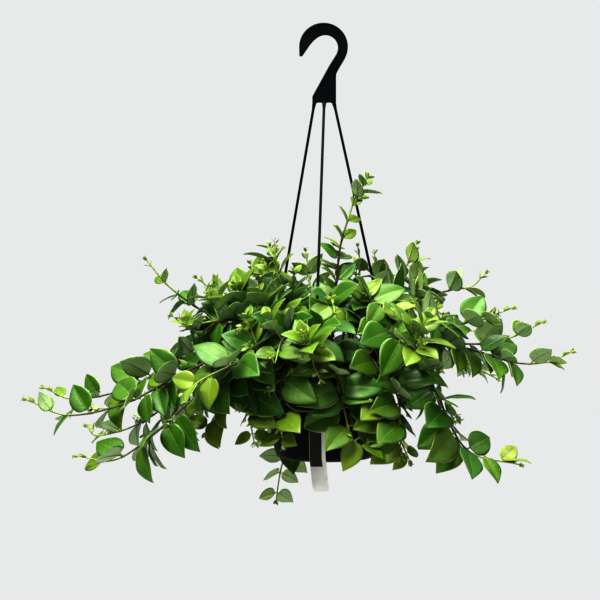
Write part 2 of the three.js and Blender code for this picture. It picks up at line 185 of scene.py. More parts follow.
def roundedSlab(outline, thickness, roundness, steps=4):
    # a flat piece on a counter-clockwise outline, its edges rounded all the way round
    flat = [np.array(p, float) for p in outline]
    flat = np.array([p for k, p in enumerate(flat) if np.linalg.norm(p - flat[k - 1]) > 1e-4])
    ahead = np.roll(flat, -1, 0) - flat
    ahead /= np.linalg.norm(ahead, axis=1)[:, None]
    both = ahead + np.roll(ahead, 1, 0)
    inward = np.stack([-both[:, 1], both[:, 0]], -1)
    inward /= np.maximum(np.linalg.norm(inward, axis=1) ** 2 / 2, 0.5)[:, None]
    rings = []
    for side in (-1, 1):
        for step in range(steps + 1)[::-side]:
            a = step / steps * math.pi / 2
            height = side * (thickness / 2 - roundness * (1 - math.sin(a)))
            shift = roundness * (1 - math.cos(a))
            rings.append(np.column_stack([flat + inward * shift, np.full(len(flat), height)]))
    return np.vstack(rings), ringFaces(len(rings), len(flat))


def lathed(profile, sides):
    # a surface turned about the z axis; a profile point on the axis is one point
    points, faces, rows = [], [], []
    for radius, height in profile:
        if radius < 1e-6:
            rows.append([len(points)])
            points.append((0, 0, height))
            continue
        rows.append(list(range(len(points), len(points) + sides)))
        for k in range(sides):
            a = 2 * math.pi * k / sides
            points.append((radius * math.cos(a), radius * math.sin(a), height))
    for low, high in zip(rows, rows[1:]):
        for k in range(sides):
            after = (k + 1) % sides
            if len(low) == 1:
                faces.append((low[0], high[after], high[k]))
            elif len(high) == 1:
                faces.append((low[k], low[after], high[0]))
            else:
                faces.append((low[k], low[after], high[after], high[k]))
    return points, faces


def cutHoles(piece, bores, finish, useSelf=False):
    # takes the tubes of a batch out of a piece
    cutter = meshObject("cutter", bores, [finish], False)
    holes = piece.modifiers.new("holes", "BOOLEAN")
    holes.object = cutter
    holes.solver = "EXACT"
    holes.use_self = useSelf
    shown = bpy.context.evaluated_depsgraph_get()
    piece.data = bpy.data.meshes.new_from_object(piece.evaluated_get(shown))
    piece.modifiers.clear()
    bpy.data.objects.remove(cutter)


# The solid part places its leaves by these rules, and the leaves here lie on them. A pair of numbers that
# mixed reads is a start and what is added to it.
stemRules = {
    "mixDepth": 14, "rootDepth": 36, "collarHeight": 9, "stepLength": 32,
    "leafStart": 84, "leafEnd": 20, "gapLeast": 17, "gapMost": 31, "oldGrowth": 140, "fullSize": 160,
    "leafThickness": 0.8, "turns": [0, 22, -22, 44, -44, 66, -66], "shrinks": [1, 0.85, 0.7],
    "light": (0.8, 0.8), "twist": (12, 34), "rollDraw": 50,
    "spread": (24, 22), "openTip": (26, 60), "hangingSpread": 0.7,    # the last pairs open wider
    "droop": (-12, 48), "droopReach": 70, "tiltDraw": 36,
    "sizeDraw": (0.86, 0.28), "seed": (4001, 131),
    "match": 0.00006,    # how near to a solid leaf's tip a leaf must end, in metres
}


def splinePoint(points, t):
    # a uniform Catmull-Rom curve through the points, at a share t of its spans
    spans = len(points) - 1
    at = np.clip(np.asarray(t, float), 0, 1) * spans
    span = np.minimum(at.astype(int), spans - 1)
    padded = np.vstack([2 * points[0] - points[1], points, 2 * points[-1] - points[-2]])
    before, start, end, after = (padded[span + k] for k in range(4))
    share = (at - span)[..., None]
    leave, arrive = 0.5 * (end - before), 0.5 * (after - start)
    cubic = 2 * start - 2 * end + leave + arrive
    square = -3 * start + 3 * end - 2 * leave - arrive
    return start + leave * share + square * share ** 2 + cubic * share ** 3


def stemAxis(route):
    # from its foot a stem runs straight up to its collar, then along its route
    points = np.array(route["via"], float)
    foot = points[0] * route["foot"] / fromAxis(points[0])
    foot[2] = -stemRules["mixDepth"] - stemRules["rootDepth"]
    rise = stemRules["collarHeight"] - stemRules["mixDepth"] - foot[2]
    collar = foot + (points[0] - foot) * rise / (points[0][2] - foot[2])
    points = np.vstack([foot, collar, points])
    shares = np.linspace(0, 1, 201)
    steps = np.diff(splinePoint(points, shares), axis=0)
    lengths = np.concatenate([[0], np.cumsum(np.linalg.norm(steps, axis=1))])
    return {"points": points, "shares": shares, "lengths": lengths, "length": lengths[-1]}


def axisPoint(axis, at):
    # the point at a share of the stem's length
    shares = np.interp(np.multiply(at, axis["length"]), axis["lengths"], axis["shares"])
    return splinePoint(axis["points"], shares)


def axisTangent(axis, at):
    t = np.interp(at * axis["length"], axis["lengths"], axis["shares"])
    low, high = splinePoint(axis["points"], np.array([max(0, t - 1e-4), min(1, t + 1e-4)]))
    return unit(high - low)


def drawsFrom(seed):
    # a sequence of draws between 0 and 1 that is the same on every run
    state = seed
    while True:
        state = state * 16807 % 2147483647
        yield state / 2147483647


def mixed(rule, draw):
    start, share = stemRules[rule]
    return start + share * draw


def grownSize(route, left):
    # a leaf's length by what is left of the stem beyond it
    return route["leaf"] * min(1, route["tip"] + left / stemRules["fullSize"])


def leafSites(route, axis, seed):
    # opposite pairs of leaves, closer together and smaller towards the tip
    draw, rules, sites = drawsFrom(seed), stemRules, []
    along, pair = rules["leafStart"], 0
    while along < axis["length"] - rules["leafEnd"]:
        left = axis["length"] - along
        for side in (-1, 1):
            draws = [next(draw) for _ in range(6)]
            size = grownSize(route, left) * mixed("sizeDraw", draws[0])
            sites.append({"at": along / axis["length"], "left": left, "side": side, "pair": pair,
                          "size": size, "draws": draws, "grown": draws[1] > route["thin"]})
        least, most = rules["gapLeast"], rules["gapMost"]
        along += least + (most - least) * min(1, left / rules["oldGrowth"])
        pair += 1
    return sites


def leafPose(axis, site, turn, shrink):
    # a leaf's foot on its stem, the way it points, and the side that it turns to the light
    draws, side, rules = site["draws"], site["side"], stemRules
    steps = math.floor(axis["length"] / rules["stepLength"] + 0.5)
    step = math.floor(site["at"] * steps)
    ends = axisPoint(axis, np.array([step, step + 1]) / steps)
    foot = ends[0] + (ends[1] - ends[0]) * (site["at"] * steps - step)
    tangent = axisTangent(axis, site["at"])
    falling = max(0, -tangent[2])
    light = unit(np.array([0, 0, 1]) + outwardAt(foot) * mixed("light", falling))
    twist = mixed("twist", 1 - abs(tangent[2]))
    roll = turn + (twist if site["pair"] % 2 else -twist) + rules["rollDraw"] * (draws[2] - 0.5)
    flank = turned(unit(np.cross(tangent, light)) * side, tangent, math.radians(roll) * side)
    opening, reach = rules["openTip"]
    spread = mixed("spread", draws[3]) + opening * max(0, 1 - site["left"] / reach)
    lean = math.radians(spread * (1 - rules["hangingSpread"] * falling))
    along = flank * math.cos(lean) + tangent * math.sin(lean)
    face = unit(light - along * np.dot(light, along))
    droop = math.radians(mixed("droop", draws[4])) * max(0, face[2])
    droop = droop * min(1, site["left"] / rules["droopReach"])
    hinge = np.cross(along, face)
    along, face = turned(along, hinge, -droop), turned(face, hinge, -droop)
    face = turned(face, along, math.radians(rules["tiltDraw"] * (draws[5] - 0.5)))
    return {"foot": foot, "along": along, "face": face, "across": np.cross(along, face),
            "size": site["size"] * shrink}


def nodeTree(name):
    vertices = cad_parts[name].data.vertices
    tree = kdtree.KDTree(len(vertices))
    for index, vertex in enumerate(vertices):
        tree.insert(vertex.co, index)
    tree.balance()
    return tree


def solidLeaf(axis, site, tree):
    # the pose that this leaf has in the solid part, or None where the part holds no such leaf
    for shrink in stemRules["shrinks"]:
        for turn in stemRules["turns"]:
            pose = leafPose(axis, site, turn, shrink)
            size = pose["size"]
            rise = stemRules["leafThickness"] / 2 - 0.1 * size
            tip = pose["foot"] + pose["along"] * size + pose["face"] * rise
            if tree.find(Vector(toPart(tip)))[2] < stemRules["match"]:
                return pose
    return None


leafShape = {
    "halfWidth": 0.335,         # share of the leaf's length
    "narrow": 0.68,             # share of that width that the youngest leaves have
    "bladeStart": 0.1,          # where the petiole ends
    "widest": 0.7,              # power that moves the widest part towards the foot
    "fullness": (0.52, 0.44),   # how round the foot is, and how much sharper the tip
    "fold": (0.12, 0.42),       # how steeply the halves rise from the midrib
    "arch": (0.12, 0.22),       # rise from the foot, and fall towards the tip
    "thickness": 1.0, "fullThickness": 30,    # and the length from which a blade has all of it
    "widthDraw": (0.92, 1.06), "wave": 0.011, "waves": 1.6, "bend": 0.05, "twist": 0.16,
    "petiole": (0.35, 0.014), "petioleTaper": (1.25, 1, 0.9, 0.85, 0.62, 0.5, 0.38), "ribEnd": 0.14,
    "full": 50,                 # length of a leaf with all of its veins, in millimetres
    "grid": (10, 13), "smallGrid": (6, 8),
}


def archOf(y):
    # a leaf's rise at a share y of its length, as a share of that length
    rise, fall = leafShape["arch"]
    return rise * y - fall * y * y


def bladeGrid(cellsAcross, cellsAlong):
    # an upper and an under sheet that share their margin, as one closed skin
    columns = np.linspace(-1, 1, cellsAcross + 1)
    columns = np.sign(columns) * (0.55 * np.abs(columns) + 0.45 * np.abs(columns) ** 1.9)
    columns = np.sign(columns) * (1 - (1 - np.abs(columns)) ** 1.25)
    rows = np.linspace(0, 1, cellsAlong + 1)
    rows = 0.5 * rows + 0.25 * (1 - np.cos(math.pi * rows))
    across, along = np.meshgrid(columns, rows)
    upper = np.arange(across.size).reshape(across.shape)
    under = upper.copy()
    inner = under[1:-1, 1:-1]
    under[1:-1, 1:-1] = across.size + np.arange(inner.size).reshape(inner.shape)
    faces = []
    for j in range(cellsAlong):
        for i in range(cellsAcross):
            faces.append((upper[j, i], upper[j, i + 1], upper[j + 1, i + 1], upper[j + 1, i]))
            faces.append((under[j, i], under[j + 1, i], under[j + 1, i + 1], under[j, i + 1]))
    marks = {name: np.concatenate([values.ravel(), values[1:-1, 1:-1].ravel()])
             for name, values in (("across", across), ("along", along))}
    marks["under"] = np.repeat([0, 1], [across.size, inner.size])
    return {"across": across, "along": along, "faces": faces, "marks": marks}


def placed(pose, local):
    # points in a leaf's own axes, taken to the pot's frame
    return pose["foot"] + local @ np.array([pose["across"], pose["along"], pose["face"]])


def bladePoints(pose, grid, chance):
    # the two sheets of one blade
    look, size = leafShape, pose["size"]
    half = look["halfWidth"] * size * chance.uniform(*look["widthDraw"]) * pose.get("narrow", 1)
    fold = chance.uniform(*look["fold"])
    phase = chance.uniform(0, 1)
    bend = chance.uniform(-1, 1) * look["bend"]
    twist = chance.uniform(-1, 1) * look["twist"]
    across, t = grid["across"], grid["along"]
    y = look["bladeStart"] + (1 - look["bladeStart"]) * t
    foot, tip = look["fullness"]
    width = half * np.sin(math.pi * t ** look["widest"]).clip(0, 1) ** (foot + tip * t)
    width = np.maximum(width, 0.012 * size * (1 - t) + 0.1)
    x = across * width
    rise = size * archOf(y)
    rise = rise + fold * np.abs(x) * (1 - 0.5 * np.abs(x) / half)
    rise = rise + size * look["wave"] * np.sin(2 * math.pi * (look["waves"] * t + phase)) * across ** 2
    rise = rise + x * twist * (y - 0.3) - 0.05 * size * np.maximum(0, t - 0.82) ** 2 * 12
    x = x + size * bend * (y - look["bladeStart"]) ** 2
    thick = min(1, size / look["fullThickness"]) * look["thickness"] / 2
    plump = thick * np.sqrt((1 - across ** 6).clip(0, 1)) * np.where((t > 0) & (t < 1), 1, 0)
    sheets = []
    for side, rows in ((1, slice(None)), (-1, slice(1, -1))):
        sheet = np.stack([x, y * size, rise + side * plump], -1)
        sheets.append(sheet[rows, rows].reshape(-1, 3))
    return placed(pose, np.vstack(sheets))


def addBlade(batch, pose, grid, chance, youth):
    points = bladePoints(pose, grid, chance)
    addMesh(batch, points, grid["faces"], youth=youth, tint=chance.uniform(-1, 1),
            long=pose["size"] / leafShape["full"], **grid["marks"])


def addPetiole(batch, pose, stemPoint, youth):
    # from the stem into the blade, then on beneath it as the midrib
    look, size, start = leafShape, pose["size"], leafShape["bladeStart"]

    def below(y, sink):
        return pose["foot"] + pose["along"] * y * size + pose["face"] * (size * archOf(y) - sink)

    leaving = stemPoint + (below(start * 0.4, 0.2) - stemPoint) * 0.5
    neck = [stemPoint, leaving, below(start * 0.75, 0.25), below(start, 0.2)]
    rib = [below(y, 0.42 * min(1, size / look["fullThickness"])) for y in (0.2, 0.38, 0.58, 0.8)]
    thick = look["petiole"][0] + look["petiole"][1] * size
    radii = [thick * share for share in look["petioleTaper"]] + [look["ribEnd"]]
    addTube(batch, neck + rib, radii, 6, 1, youth=min(1, youth + 0.15))


def openingPose(foot, tangent, away, lean, size, narrow):
    # a leaf that leans out from the way it grows towards the tip
    along = unit(away * math.cos(lean) + tangent * math.sin(lean))
    face = tangent * math.cos(lean) - away * math.sin(lean)
    face = unit(face - along * np.dot(face, along))
    return {"foot": foot, "along": along, "face": face, "across": np.cross(along, face), "size": size,
            "narrow": narrow}


leafGrid, smallGrid = bladeGrid(*leafShape["grid"]), bladeGrid(*leafShape["smallGrid"])


def addTip(batch, origin, tangent, side, chance, sizes, spread):
    # pairs of young leaves that open round a growing tip, each pair across the last
    flank = unit(np.cross(tangent, side))
    spot = np.array(origin, float)
    for index, size in enumerate(sizes):
        quarter = index % 2 * math.pi / 2 + chance.uniform(-0.35, 0.35)
        lean = math.radians(spread[0] + (spread[1] - spread[0]) * index / max(1, len(sizes) - 1))
        for turn in (0, math.pi):
            away = turned(flank, tangent, quarter + turn)
            grown = size * chance.uniform(0.85, 1.12)
            pose = openingPose(spot, tangent, away, lean, grown, leafShape["narrow"])
            addBlade(batch, pose, smallGrid, chance, min(1, 0.72 + 0.09 * index))
            addPetiole(batch, pose, spot, 0.9)
        spot = spot + tangent * size * 0.55


# Each stem's route, in the pot's frame: the radius of its foot, the length of its largest leaves, how much
# of that its last leaves keep, the share of leaves that have fallen, and the points that it passes.
routeParts = ("foot", "leaf", "tip", "thin", "via")
routes = {
    "left_high": (38, 55, 0.3, 0.28, [
        (-100, -8, 34), (-187, -30, -6), (-259, -45, -44), (-326, -50, -58), (-365, -50, -44)]),
    "left_mid": (52, 53, 0.3, 0.28, [
        (-82, -42, 16), (-180, -85, -20), (-251, -100, -58), (-324, -105, -74), (-377, -105, -55)]),
    "left_low": (60, 57, 0.55, 0.28, [
        (-75, -54, 15), (-170, -108, -55), (-224, -118, -103), (-267, -120, -129), (-310, -118, -124)]),
    "left_back": (50, 51, 0.42, 0.48, [
        (-88, 26, 20), (-175, 40, -40), (-250, 36, -96), (-309, 35, -114), (-324, 35, -103)]),
    "left_drop": (60, 51, 0.7, 0, [(-67, -63, 15), (-114, -108, -25), (-136, -108, -66), (-153, -100, -96)]),
    "left_up": (30, 47, 0.3, 0.28, [(-92, 10, 48), (-150, 2, 50), (-205, -10, 86), (-237, -15, 123)]),
    "left_crest": (20, 47, 0.45, 0.28, [(-72, 20, 58), (-118, 24, 70), (-150, 18, 84), (-172, 12, 100)]),
    "left_hook": (40, 49, 0.42, 0.28, [(-88, -44, 42), (-140, -80, 44), (-177, -95, 39), (-194, -95, 50)]),
    "left_front": (44, 55, 0.5, 0.28, [
        (-57, -73, 24), (-110, -145, -5), (-150, -162, -24), (-175, -165, -42)]),
    "left_leaf": (30, 49, 0.5, 0.48, [(-70, 44, 50), (-108, 62, 70), (-126, 66, 100)]),
    "left_far": (52, 51, 0.42, 0.48, [(-78, 48, 20), (-158, 88, 16), (-195, 92, 6), (-222, 92, -14)]),
    "top_left": (22, 49, 0.55, 0.28, [(-44, -24, 50), (-58, -38, 90), (-66, -44, 121), (-66, -45, 145)]),
    "top_lean": (12, 45, 0.55, 0.38, [(-46, 30, 60), (-74, 48, 82), (-96, 54, 104), (-102, 55, 120)]),
    "top_mid": (34, 47, 0.55, 0.48, [(-14, 56, 50), (-20, 66, 90), (-23, 70, 118), (-26, 70, 138)]),
    "top_tall": (8, 37, 0.36, 0.28, [
        (10, -8, 44), (14, -14, 91), (20, -15, 144), (33, -15, 188), (43, -15, 222)]),
    "top_yellow": (30, 43, 0.55, 0.28, [(34, 8, 47), (40, 10, 82), (47, 10, 115), (44, 10, 142)]),
    "top_right": (46, 49, 0.65, 0.28, [(66, 52, 46), (72, 62, 84), (70, 62, 112), (69, 60, 134)]),
    "right_bud": (40, 49, 0.62, 0.28, [(78, 8, 54), (100, 18, 100), (114, 24, 124), (124, 25, 146)]),
    "right_up": (62, 49, 0.5, 0.28, [
        (84, 62, 40), (132, 64, 72), (177, 64, 85), (204, 62, 90), (222, 60, 107)]),
    "right_high": (42, 53, 0.5, 0.28, [(86, -28, 36), (147, -60, 38), (191, -70, 44), (236, -75, 60)]),
    "right_mid": (52, 51, 0.42, 0.28, [
        (96, 4, 26), (160, 14, 14), (215, 20, 12), (256, 20, 22), (293, 20, 40)]),
    "right_long": (60, 53, 0.36, 0.28, [
        (90, -20, 16), (180, -46, 8), (244, -60, -10), (287, -60, -9), (315, -60, 3)]),
    "right_low": (60, 57, 0.5, 0.28, [
        (76, -51, 15), (132, -104, -36), (152, -118, -82), (180, -120, -120), (238, -120, -134)]),
    "right_front": (36, 55, 0.6, 0.28, [(62, -78, 36), (88, -125, 24), (106, -165, 8), (112, -186, 18)]),
    "right_drop": (62, 55, 0.7, 0, [(57, -72, 15), (88, -118, -50), (90, -122, -97), (102, -120, -128)]),
    "front_left": (58, 57, 0.7, 0, [(-34, -86, 15), (-54, -128, -18), (-59, -128, -59), (-55, -126, -108)]),
    "front_right": (60, 57, 0.7, 0, [
        (7, -92, 15), (12, -130, -22), (21, -132, -66), (32, -130, -103), (52, -128, -114)]),
    "front_shoot": (34, 51, 0.45, 0, [(-36, -84, 38), (-56, -140, 22), (-64, -172, -4), (-68, -188, 2)]),
    "front_mid": (36, 55, 0.45, 0, [(-4, -84, 40), (-16, -135, 26), (-18, -160, -4), (-10, -168, -24)]),
    "low_left": (60, 55, 0.7, 0, [(-46, -80, 15), (-92, -112, -26), (-97, -114, -70), (-92, -108, -106)]),
    "low_right": (60, 55, 0.7, 0, [(44, -81, 15), (68, -120, -24), (72, -122, -66), (66, -118, -104)]),
    "crown_left": (28, 57, 0.55, 0, [(-54, -60, 46), (-84, -96, 50), (-108, -122, 34)]),
    "crown_mid": (20, 53, 0.55, 0, [(4, -44, 60), (8, -80, 66), (10, -118, 50)]),
    "crown_right": (30, 55, 0.55, 0, [(44, -46, 60), (70, -84, 66), (94, -112, 50)]),
    "crown_east": (22, 51, 0.55, 0.28, [(74, -14, 62), (112, -34, 68), (146, -44, 56)]),
    "crown_west": (26, 51, 0.55, 0.28, [(-72, -20, 62), (-112, -40, 66), (-146, -50, 56)]),
    "behind_left": (56, 53, 0.5, 0.48, [(-53, 75, 20), (-96, 140, -6), (-118, 176, -50), (-124, 190, -88)]),
    "behind_right": (56, 53, 0.5, 0.48, [(55, 74, 20), (104, 138, 0), (128, 170, -40), (138, 184, -80)]),
    "behind_mid": (56, 53, 0.5, 0.48, [(6, 92, 16), (10, 160, -12), (12, 186, -60), (8, 194, -104)]),
    "behind_east": (54, 51, 0.45, 0.48, [(87, 20, 22), (160, 58, 4), (210, 96, -22), (244, 108, -40)]),
    "behind_crown": (30, 51, 0.5, 0.48, [(-30, 76, 50), (-50, 128, 46), (-62, 166, 30)]),
    "behind_high": (26, 51, 0.5, 0.48, [(34, 74, 56), (48, 124, 56), (60, 160, 42)]),
    "behind_low": (60, 49, 0.45, 0.48, [
        (-30, 87, 16), (-48, 124, -40), (-50, 126, -120), (-62, 122, -175), (-68, 118, -214)]),
}

plantLook = {
    "seed": 7000,
    "stemBase": 2.0, "stemTip": 0.85, "taper": 0.8,     # radii, and how they change along the stem
    "knee": 0.25, "kneeReach": 2.6,                     # how far a leaf's foot thickens it, and for how long
    "ring": 3.6, "stemSides": 7,                        # spacing of the stem's rings
    "youngReach": 62,                                   # how far from the tip the young colour runs
    "pale": 0.1,                                        # share of leaves that are young before their time
    # leaves higher up are painted paler: partly young growth, partly painted backlight
    "backlitPaleHeight": (60, 150), "backlitPaleShare": 0.5,           # where leaves turn paler, and by how much
    "roomy": 17,                                        # gap between pairs that takes another
    "crown": 255, "lastReach": 60, "sparse": 0.15,      # the crown's radius, and the share kept beyond it
    "turns": (0, 20, -20, 40, -40, 60, -60), "betweenTurns": (90, 60, 120, 40, -60, 20, -40, 0),
    "shrinks": (1, 0.86, 0.72),
    "branches": 0.15, "branchReach": (20, 42),          # share of crown leaves with a side branch, its length
    "branchRadii": (1.25, 0.65), "branchSteps": 8,
    "branchCrown": 190,                                 # and the radius that holds them
    "branchLeaves": (0.92, 0.84, 0.66, 0.4),            # its pairs, as shares of the stem's leaf
    "branchNarrow": 0.9,
    "shoots": 0.12, "shootLeaves": (0.3, 0.22, 0.12),   # share of leaves with a shoot at their foot
    "shootReach": (7, 15), "shootRadii": (0.9, 0.75, 0.6), "shootSpread": (62, 18),
    "lastLeft": 10, "lastLeaf": 0.24,                   # where a stem's last pair stands, and its size
    "hangingTip": 0.7, "hangingLast": 0.6,              # and on the stems that hang down the front
    "longLast": {"behind_low": 0.62}, "hangingNarrow": 0.92,
    "budLeaves": (0.2, 0.09), "budSpread": (52, 24),    # and round its growing point
}
standing = {"trees": [], "low": [], "high": []}


def stand(points, faces):
    # a shape that later leaves keep clear of
    points = np.asarray(points, float)
    standing["trees"].append(BVHTree.FromPolygons(points.tolist(), faces))
    standing["low"].append(points.min(0))
    standing["high"].append(points.max(0))


def standNode(name):
    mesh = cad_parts[name].data
    points = np.array([vertex.co for vertex in mesh.vertices]) * 1000 + (0, 0, seatToRim)
    stand(points, [tuple(face.vertices) for face in mesh.polygons])


def bladeHull(pose):
    # a coarse fan for the blade, to test what it would pass through
    size, half = pose["size"], leafShape["halfWidth"] * pose["size"]
    outline = [(0, 0.12), (0.8, 0.25), (1, 0.45), (0.66, 0.72), (0, 1),
               (-0.66, 0.72), (-1, 0.45), (-0.8, 0.25)]
    local = np.array([(x * half, y * size, size * archOf(y)) for x, y in outline])
    return placed(pose, local), [(0, k, k + 1) for k in range(1, 7)]


def isClear(pose):
    points, faces = bladeHull(pose)
    tree = BVHTree.FromPolygons(points.tolist(), faces)
    near = (np.array(standing["low"]) < points.max(0)) & (np.array(standing["high"]) > points.min(0))
    return not any(standing["trees"][index].overlap(tree) for index in np.flatnonzero(near.all(1)))


def addLeaf(plant, site):
    look, pose, chance = plantLook, site["pose"], plant["chance"]
    stand(*bladeHull(pose))
    youth = float(1 - smooth(8, look["youngReach"], site["left"])) * 0.7 + chance.uniform(0, 0.2)
    if chance.random() < look["pale"]:
        youth += chance.uniform(0.2, 0.45)
    # leaves higher in the crown are painted paler at random, partly young growth and partly painted
    # backlight; the youth mark carries both
    youth += look["backlitPaleShare"] * float(smooth(*look["backlitPaleHeight"], pose["foot"][2])) * chance.random()
    youth = min(1, youth)
    addBlade(plant["batch"], pose, leafGrid, chance, youth)
    addPetiole(plant["batch"], pose, axisPoint(plant["axis"], site["at"]), youth)


def startPlant(name, route, index):
    # the stem, and the leaves that the solid part holds
    look, axis, batch = plantLook, stemAxis(route), newBatch()
    length, tree, sides = axis["length"], nodeTree("stem_" + name), look["stemSides"]
    sites = leafSites(route, axis, mixed("seed", index))
    run = np.linspace(0, length, round(length / look["ring"]) + 1)
    radii = look["stemTip"] + (look["stemBase"] - look["stemTip"]) * (1 - run / length) ** look["taper"]
    for site in sites:
        radii = radii + look["knee"] * np.exp(-((run - site["at"] * length) / look["kneeReach"]) ** 2)
    youth = 1 - smooth(10, 1.3 * look["youngReach"], length - run)
    addTube(batch, axisPoint(axis, run / length), radii, sides, 1, youth=np.repeat(youth, sides))
    stand(*tubeMesh(axisPoint(axis, np.linspace(0.16, 1, 12)), 1.6, 3))
    plant = {"name": name, "route": route, "axis": axis, "sites": sites, "batch": batch, "onBranches": 0,
             "chance": random.Random(look["seed"] + index)}
    for site in sites:
        site["pose"] = solidLeaf(axis, site, tree) if site["grown"] else None
        if site["pose"]:
            addLeaf(plant, site)
    return plant


def fillPlant(plant):
    # the leaves that the solid part leaves out, and pairs between its pairs, where there is room
    look, axis, chance, length = plantLook, plant["axis"], plant["chance"], plant["axis"]["length"]
    extra = []
    for site in plant["sites"]:
        if not site["pose"]:
            share = 1 if fromAxis(axisPoint(axis, site["at"])) < look["crown"] else look["sparse"]
            if chance.random() < share:
                extra.append(site)
    pairs = sorted({(site["at"], site["pair"]) for site in plant["sites"]})
    for (start, pair), (end, _) in zip(pairs, pairs[1:]):
        at = (start + end) / 2
        left = length * (1 - at)
        inCrown = fromAxis(axisPoint(axis, at)) < look["crown"] and length * (1 - end) > look["lastReach"]
        if (end - start) * length > look["roomy"] and inCrown:
            for side in (-1, 1):
                draws = [chance.random() for _ in range(6)]
                size = grownSize(plant["route"], left) * chance.uniform(0.8, 1.02)
                extra.append({"at": at, "left": left, "side": side, "pair": pair + 1, "size": size,
                              "draws": draws, "between": True})
    for site in extra:
        turns = look["betweenTurns"] if "between" in site else look["turns"]
        poses = (leafPose(axis, site, turn, shrink) for shrink in look["shrinks"] for turn in turns)
        site["pose"] = next((pose for pose in poses if isClear(pose)), None)
        if site["pose"]:
            addLeaf(plant, site)


def addBud(plant, origin, tangent, side):
    sizes = [plant["route"]["leaf"] * share for share in plantLook["budLeaves"]]
    addTip(plant["batch"], origin, tangent, side, plant["chance"], sizes, plantLook["budSpread"])


def addBranch(plant, start, leafPlace):
    # a short side branch that rises beside a leaf, each pair of its leaves a quarter turned from the last
    look, chance, batch, steps = plantLook, plant["chance"], plant["batch"], plantLook["branchSteps"]
    reach, outward = chance.uniform(*look["branchReach"]), outwardAt(start)
    heading = unit(outward * chance.uniform(-0.2, 0.7) + leafPlace["along"] * 0.5 + (0, 0, 0.9))
    bow = np.array([0, 0, 0.25]) + outward * 0.1
    shares = np.linspace(0, 1, steps + 1)
    run = np.array([start + heading * reach * s + bow * reach * s * s for s in shares])
    ages = np.linspace(0.25, 1, steps + 1)
    addTube(batch, run, np.linspace(*look["branchRadii"], steps + 1), 6, 1, youth=np.repeat(ages, 6))
    ends = np.linspace(0.3, 0.94, len(look["branchLeaves"]))
    for index, (at, share) in enumerate(zip(ends, look["branchLeaves"])):
        spot = np.array([np.interp(at, shares, run[:, k]) for k in range(3)])
        step = int(at * steps)
        tangent = unit(run[min(steps, step + 1)] - run[step])
        flank = unit(np.cross(tangent, leafPlace["across"]))
        quarter = index % 2 * math.pi / 2 + chance.uniform(-0.3, 0.3)
        for turn in (0, math.pi):
            away = turned(flank, tangent, quarter + turn)
            lean = math.radians(chance.uniform(14, 34) + 22 * at)
            size = plant["route"]["leaf"] * share * chance.uniform(0.85, 1.1)
            pose = openingPose(spot, tangent, away, lean, size, look["branchNarrow"])
            if isClear(pose):
                stand(*bladeHull(pose))
                youth = 0.1 + 0.45 * at + chance.uniform(0, 0.25)
                addBlade(batch, pose, leafGrid, chance, youth)
                addPetiole(batch, pose, spot, youth)
                plant["onBranches"] += 1
    addBud(plant, run[-1], unit(run[-1] - run[-2]), leafPlace["across"])


def branchPlant(plant):
    look = plantLook
    for site in plant["sites"]:
        start = axisPoint(plant["axis"], site["at"])
        if not site["pose"] or fromAxis(start) > look["branchCrown"] or start[2] < 0:
            continue
        if plant["chance"].random() <= look["branches"]:
            addBranch(plant, start, site["pose"])


def finishPlant(plant, finishes):
    # side shoots, the small leaves of the tip, and the piece itself
    look, axis, chance, batch = plantLook, plant["axis"], plant["chance"], plant["batch"]
    length, route = axis["length"], plant["route"]
    for site in plant["sites"]:
        pose = site["pose"]
        if pose and chance.random() < look["shoots"]:
            start = axisPoint(axis, site["at"])
            heading = unit(axisTangent(axis, site["at"]) * 0.9 + pose["along"] * 0.5 + pose["face"] * 0.6)
            reach = chance.uniform(*look["shootReach"])
            path = [start, start + heading * reach * 0.5, start + heading * reach]
            addTube(batch, path, look["shootRadii"], 5, 1, youth=0.9)
            sizes = [route["leaf"] * share * chance.uniform(0.7, 1.1) for share in look["shootLeaves"]]
            addTip(batch, path[-1], heading, pose["across"], chance, sizes, look["shootSpread"])
    hangingLast = look["hangingLast"] if route["tip"] >= look["hangingTip"] else 0
    largeLast = look["longLast"].get(plant["name"], hangingLast)
    for side in (-1, 1):
        draws = [chance.random() for _ in range(6)]
        site = {"at": 1 - look["lastLeft"] / length, "left": look["lastLeft"], "side": side, "pair": 0,
                "size": route["leaf"] * max(look["lastLeaf"], largeLast) * chance.uniform(0.8, 1.15),
                "draws": draws}
        pose = leafPose(axis, site, chance.uniform(-30, 30), 1)
        pose["narrow"] = look["hangingNarrow"] if largeLast else leafShape["narrow"]
        age = chance.uniform(0.25, 0.7) if largeLast else chance.uniform(0.85, 1)
        addBlade(batch, pose, leafGrid if largeLast else smallGrid, chance, age)
        addPetiole(batch, pose, axisPoint(axis, site["at"]), 0.95)
    addBud(plant, axisPoint(axis, 1), axisTangent(axis, 1), np.array([0, 0, 1]))

    piece = meshObject("plant_" + plant["name"], batch, finishes)
    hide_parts("stem_" + plant["name"])
    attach(piece, "root")
    return len(piece.data.polygons)


hangerLook = {
    "inner": 17, "thickness": 6, "plate": (-17.4, 14.2), "plateDrop": 94, "edge": 1.3,
    "strand": 1.8, "spacing": 13, "shift": -1.6, "angles": (-129, -9, 111), "clipCircle": 94.2,
    "flare": 0.7, "flareReach": 4.2,        # where a strand leaves the plate
    "clip": (11, 4, 3),                     # the bar under the rim
    "stop": (3.6, 5.5),                     # radius and height of the shoulder above the rim
    "stopSteps": (0, 0.12, 0.3, 0.6, 0.85, 1), "stopTaper": (0.9, 1, 0.96, 0.72, 0.55),
    "underRim": 2.3, "sharp": 50,
}


def strandEnds(index):
    look = hangerLook
    top = np.array([look["shift"] + (index - 1) * look["spacing"], 0, seatToRim - look["plateDrop"] + 4])
    return top, rimPoint(look["angles"][index], look["clipCircle"], -look["underRim"] - look["clip"][2] / 2)


def strandAt(index, height):
    top, end = strandEnds(index)
    return end + (top - end) * (height - end[2]) / (top[2] - end[2])


